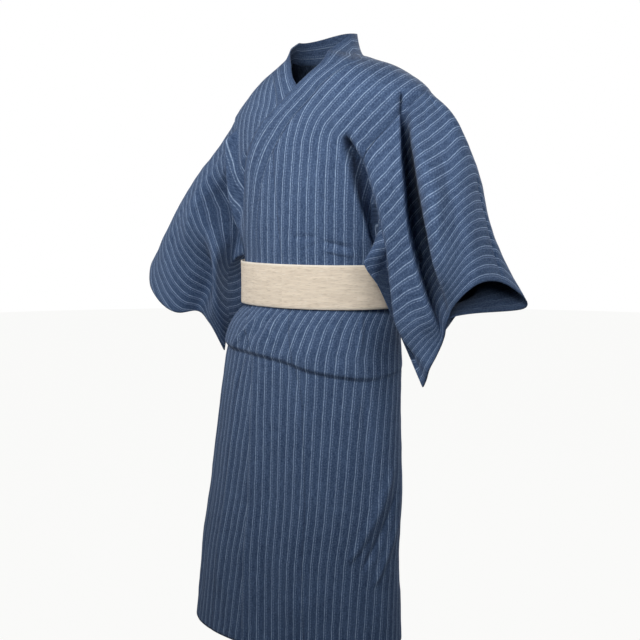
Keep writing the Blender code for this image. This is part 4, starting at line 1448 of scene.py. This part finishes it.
def add_floor(settings):
    """The pale floor: one wide disc, plain and evenly bright where it is seen."""
    shape = bmesh.new()
    bmesh.ops.create_circle(shape, cap_ends=True, segments=FLOOR_STEPS, radius=FLOOR_RADIUS)
    bmesh.ops.translate(shape, verts=shape.verts, vec=(0.0, 0.0, settings.floor_level))
    mesh = bpy.data.meshes.new("floor")
    shape.to_mesh(mesh)
    shape.free()
    made = bpy.data.objects.new("floor", mesh)
    bpy.context.scene.collection.objects.link(made)
    finish = bpy.data.materials.new("pale floor")
    finish.use_nodes = True
    tree = finish.node_tree
    shader = tree.nodes["Principled BSDF"]
    shader.inputs["Base Color"].default_value = full(settings.floor, FLOOR_CAST)
    shader.inputs["Roughness"].default_value = FLOOR_ROUGHNESS
    glow = node(tree, "ShaderNodeEmission", {"Color": full(settings.floor), "Strength": 1.0})
    seen = times(tree, node(tree, "ShaderNodeLightPath", {}, "Is Camera Ray"), FLOOR_GLOW)
    both = node(tree, "ShaderNodeMixShader", {0: seen, 1: shader.outputs[0], 2: glow})
    tree.links.new(both, tree.nodes["Material Output"].inputs["Surface"])
    mesh.materials.append(finish)


def white_room():
    """A plain room: white where it is seen, with a little cool light from it on the cloth."""
    world = bpy.data.worlds.new("White room")
    world.use_nodes = True
    tree = world.node_tree
    tree.nodes.clear()
    seen_light = node(tree, "ShaderNodeBackground", {"Color": ROOM_SEEN, "Strength": 1.0})
    cast_light = node(tree, "ShaderNodeBackground", {"Color": ROOM_CAST, "Strength": ROOM_STRENGTH})
    path = node(tree, "ShaderNodeLightPath", {}, "Is Camera Ray")
    both = node(tree, "ShaderNodeMixShader", {0: path, 1: cast_light, 2: seen_light})
    tree.links.new(both, tree.nodes.new("ShaderNodeOutputWorld").inputs["Surface"])
    bpy.context.scene.world = world


class YUKATA_OT_studio(YukataOperator, bpy.types.Operator):
    """Make the plain studio: floor, soft lights, white room and camera"""

    bl_idname = "yukata.studio"
    bl_label = "Studio"

    def execute(self, context):
        settings = context.scene.yukata_studio
        add_floor(settings)
        add_camera(settings)
        white_room()
        for light in LIGHTS:
            studio_light(light)
        context.scene.view_settings.view_transform = "Standard"
        return {"FINISHED"}


class YUKATA_PT_panel(bpy.types.Panel):
    """Lists the robe's settings and the operators that make it"""

    bl_idname = "YUKATA_PT_panel"
    bl_label = "Cotton Yukata Robe"
    bl_space_type = "VIEW_3D"
    bl_region_type = "UI"
    bl_category = "Yukata"

    def draw(self, context):
        for label, group in SETTINGS.items():
            box = self.layout.box()
            box.label(text=group.__doc__)
            for key in group.__annotations__:
                box.prop(getattr(context.scene, label), key)
        for operator in OPERATORS:
            self.layout.operator(operator.bl_idname)


SETTINGS = {"yukata_cotton": YukataCotton, "yukata_obi": YukataObi, "yukata_studio": YukataStudio}
OPERATORS = (
    YUKATA_OT_studio,
    YUKATA_OT_body,
    YUKATA_OT_okumi,
    YUKATA_OT_collar,
    YUKATA_OT_sleeves,
    YUKATA_OT_obi,
)
CLASSES = (*SETTINGS.values(), *OPERATORS, YUKATA_PT_panel)


def register():
    for each in CLASSES:
        bpy.utils.register_class(each)
    for label, group in SETTINGS.items():
        setattr(bpy.types.Scene, label, bpy.props.PointerProperty(type=group))


def unregister():
    for label in SETTINGS:
        delattr(bpy.types.Scene, label)
    for each in reversed(CLASSES):
        bpy.utils.unregister_class(each)


def main():
    register()
    bpy.ops.yukata.studio()
    bpy.ops.yukata.body()
    bpy.ops.yukata.okumi()
    bpy.ops.yukata.collar()
    bpy.ops.yukata.sleeves()
    bpy.ops.yukata.obi()


if __name__ == "__main__":
    main()
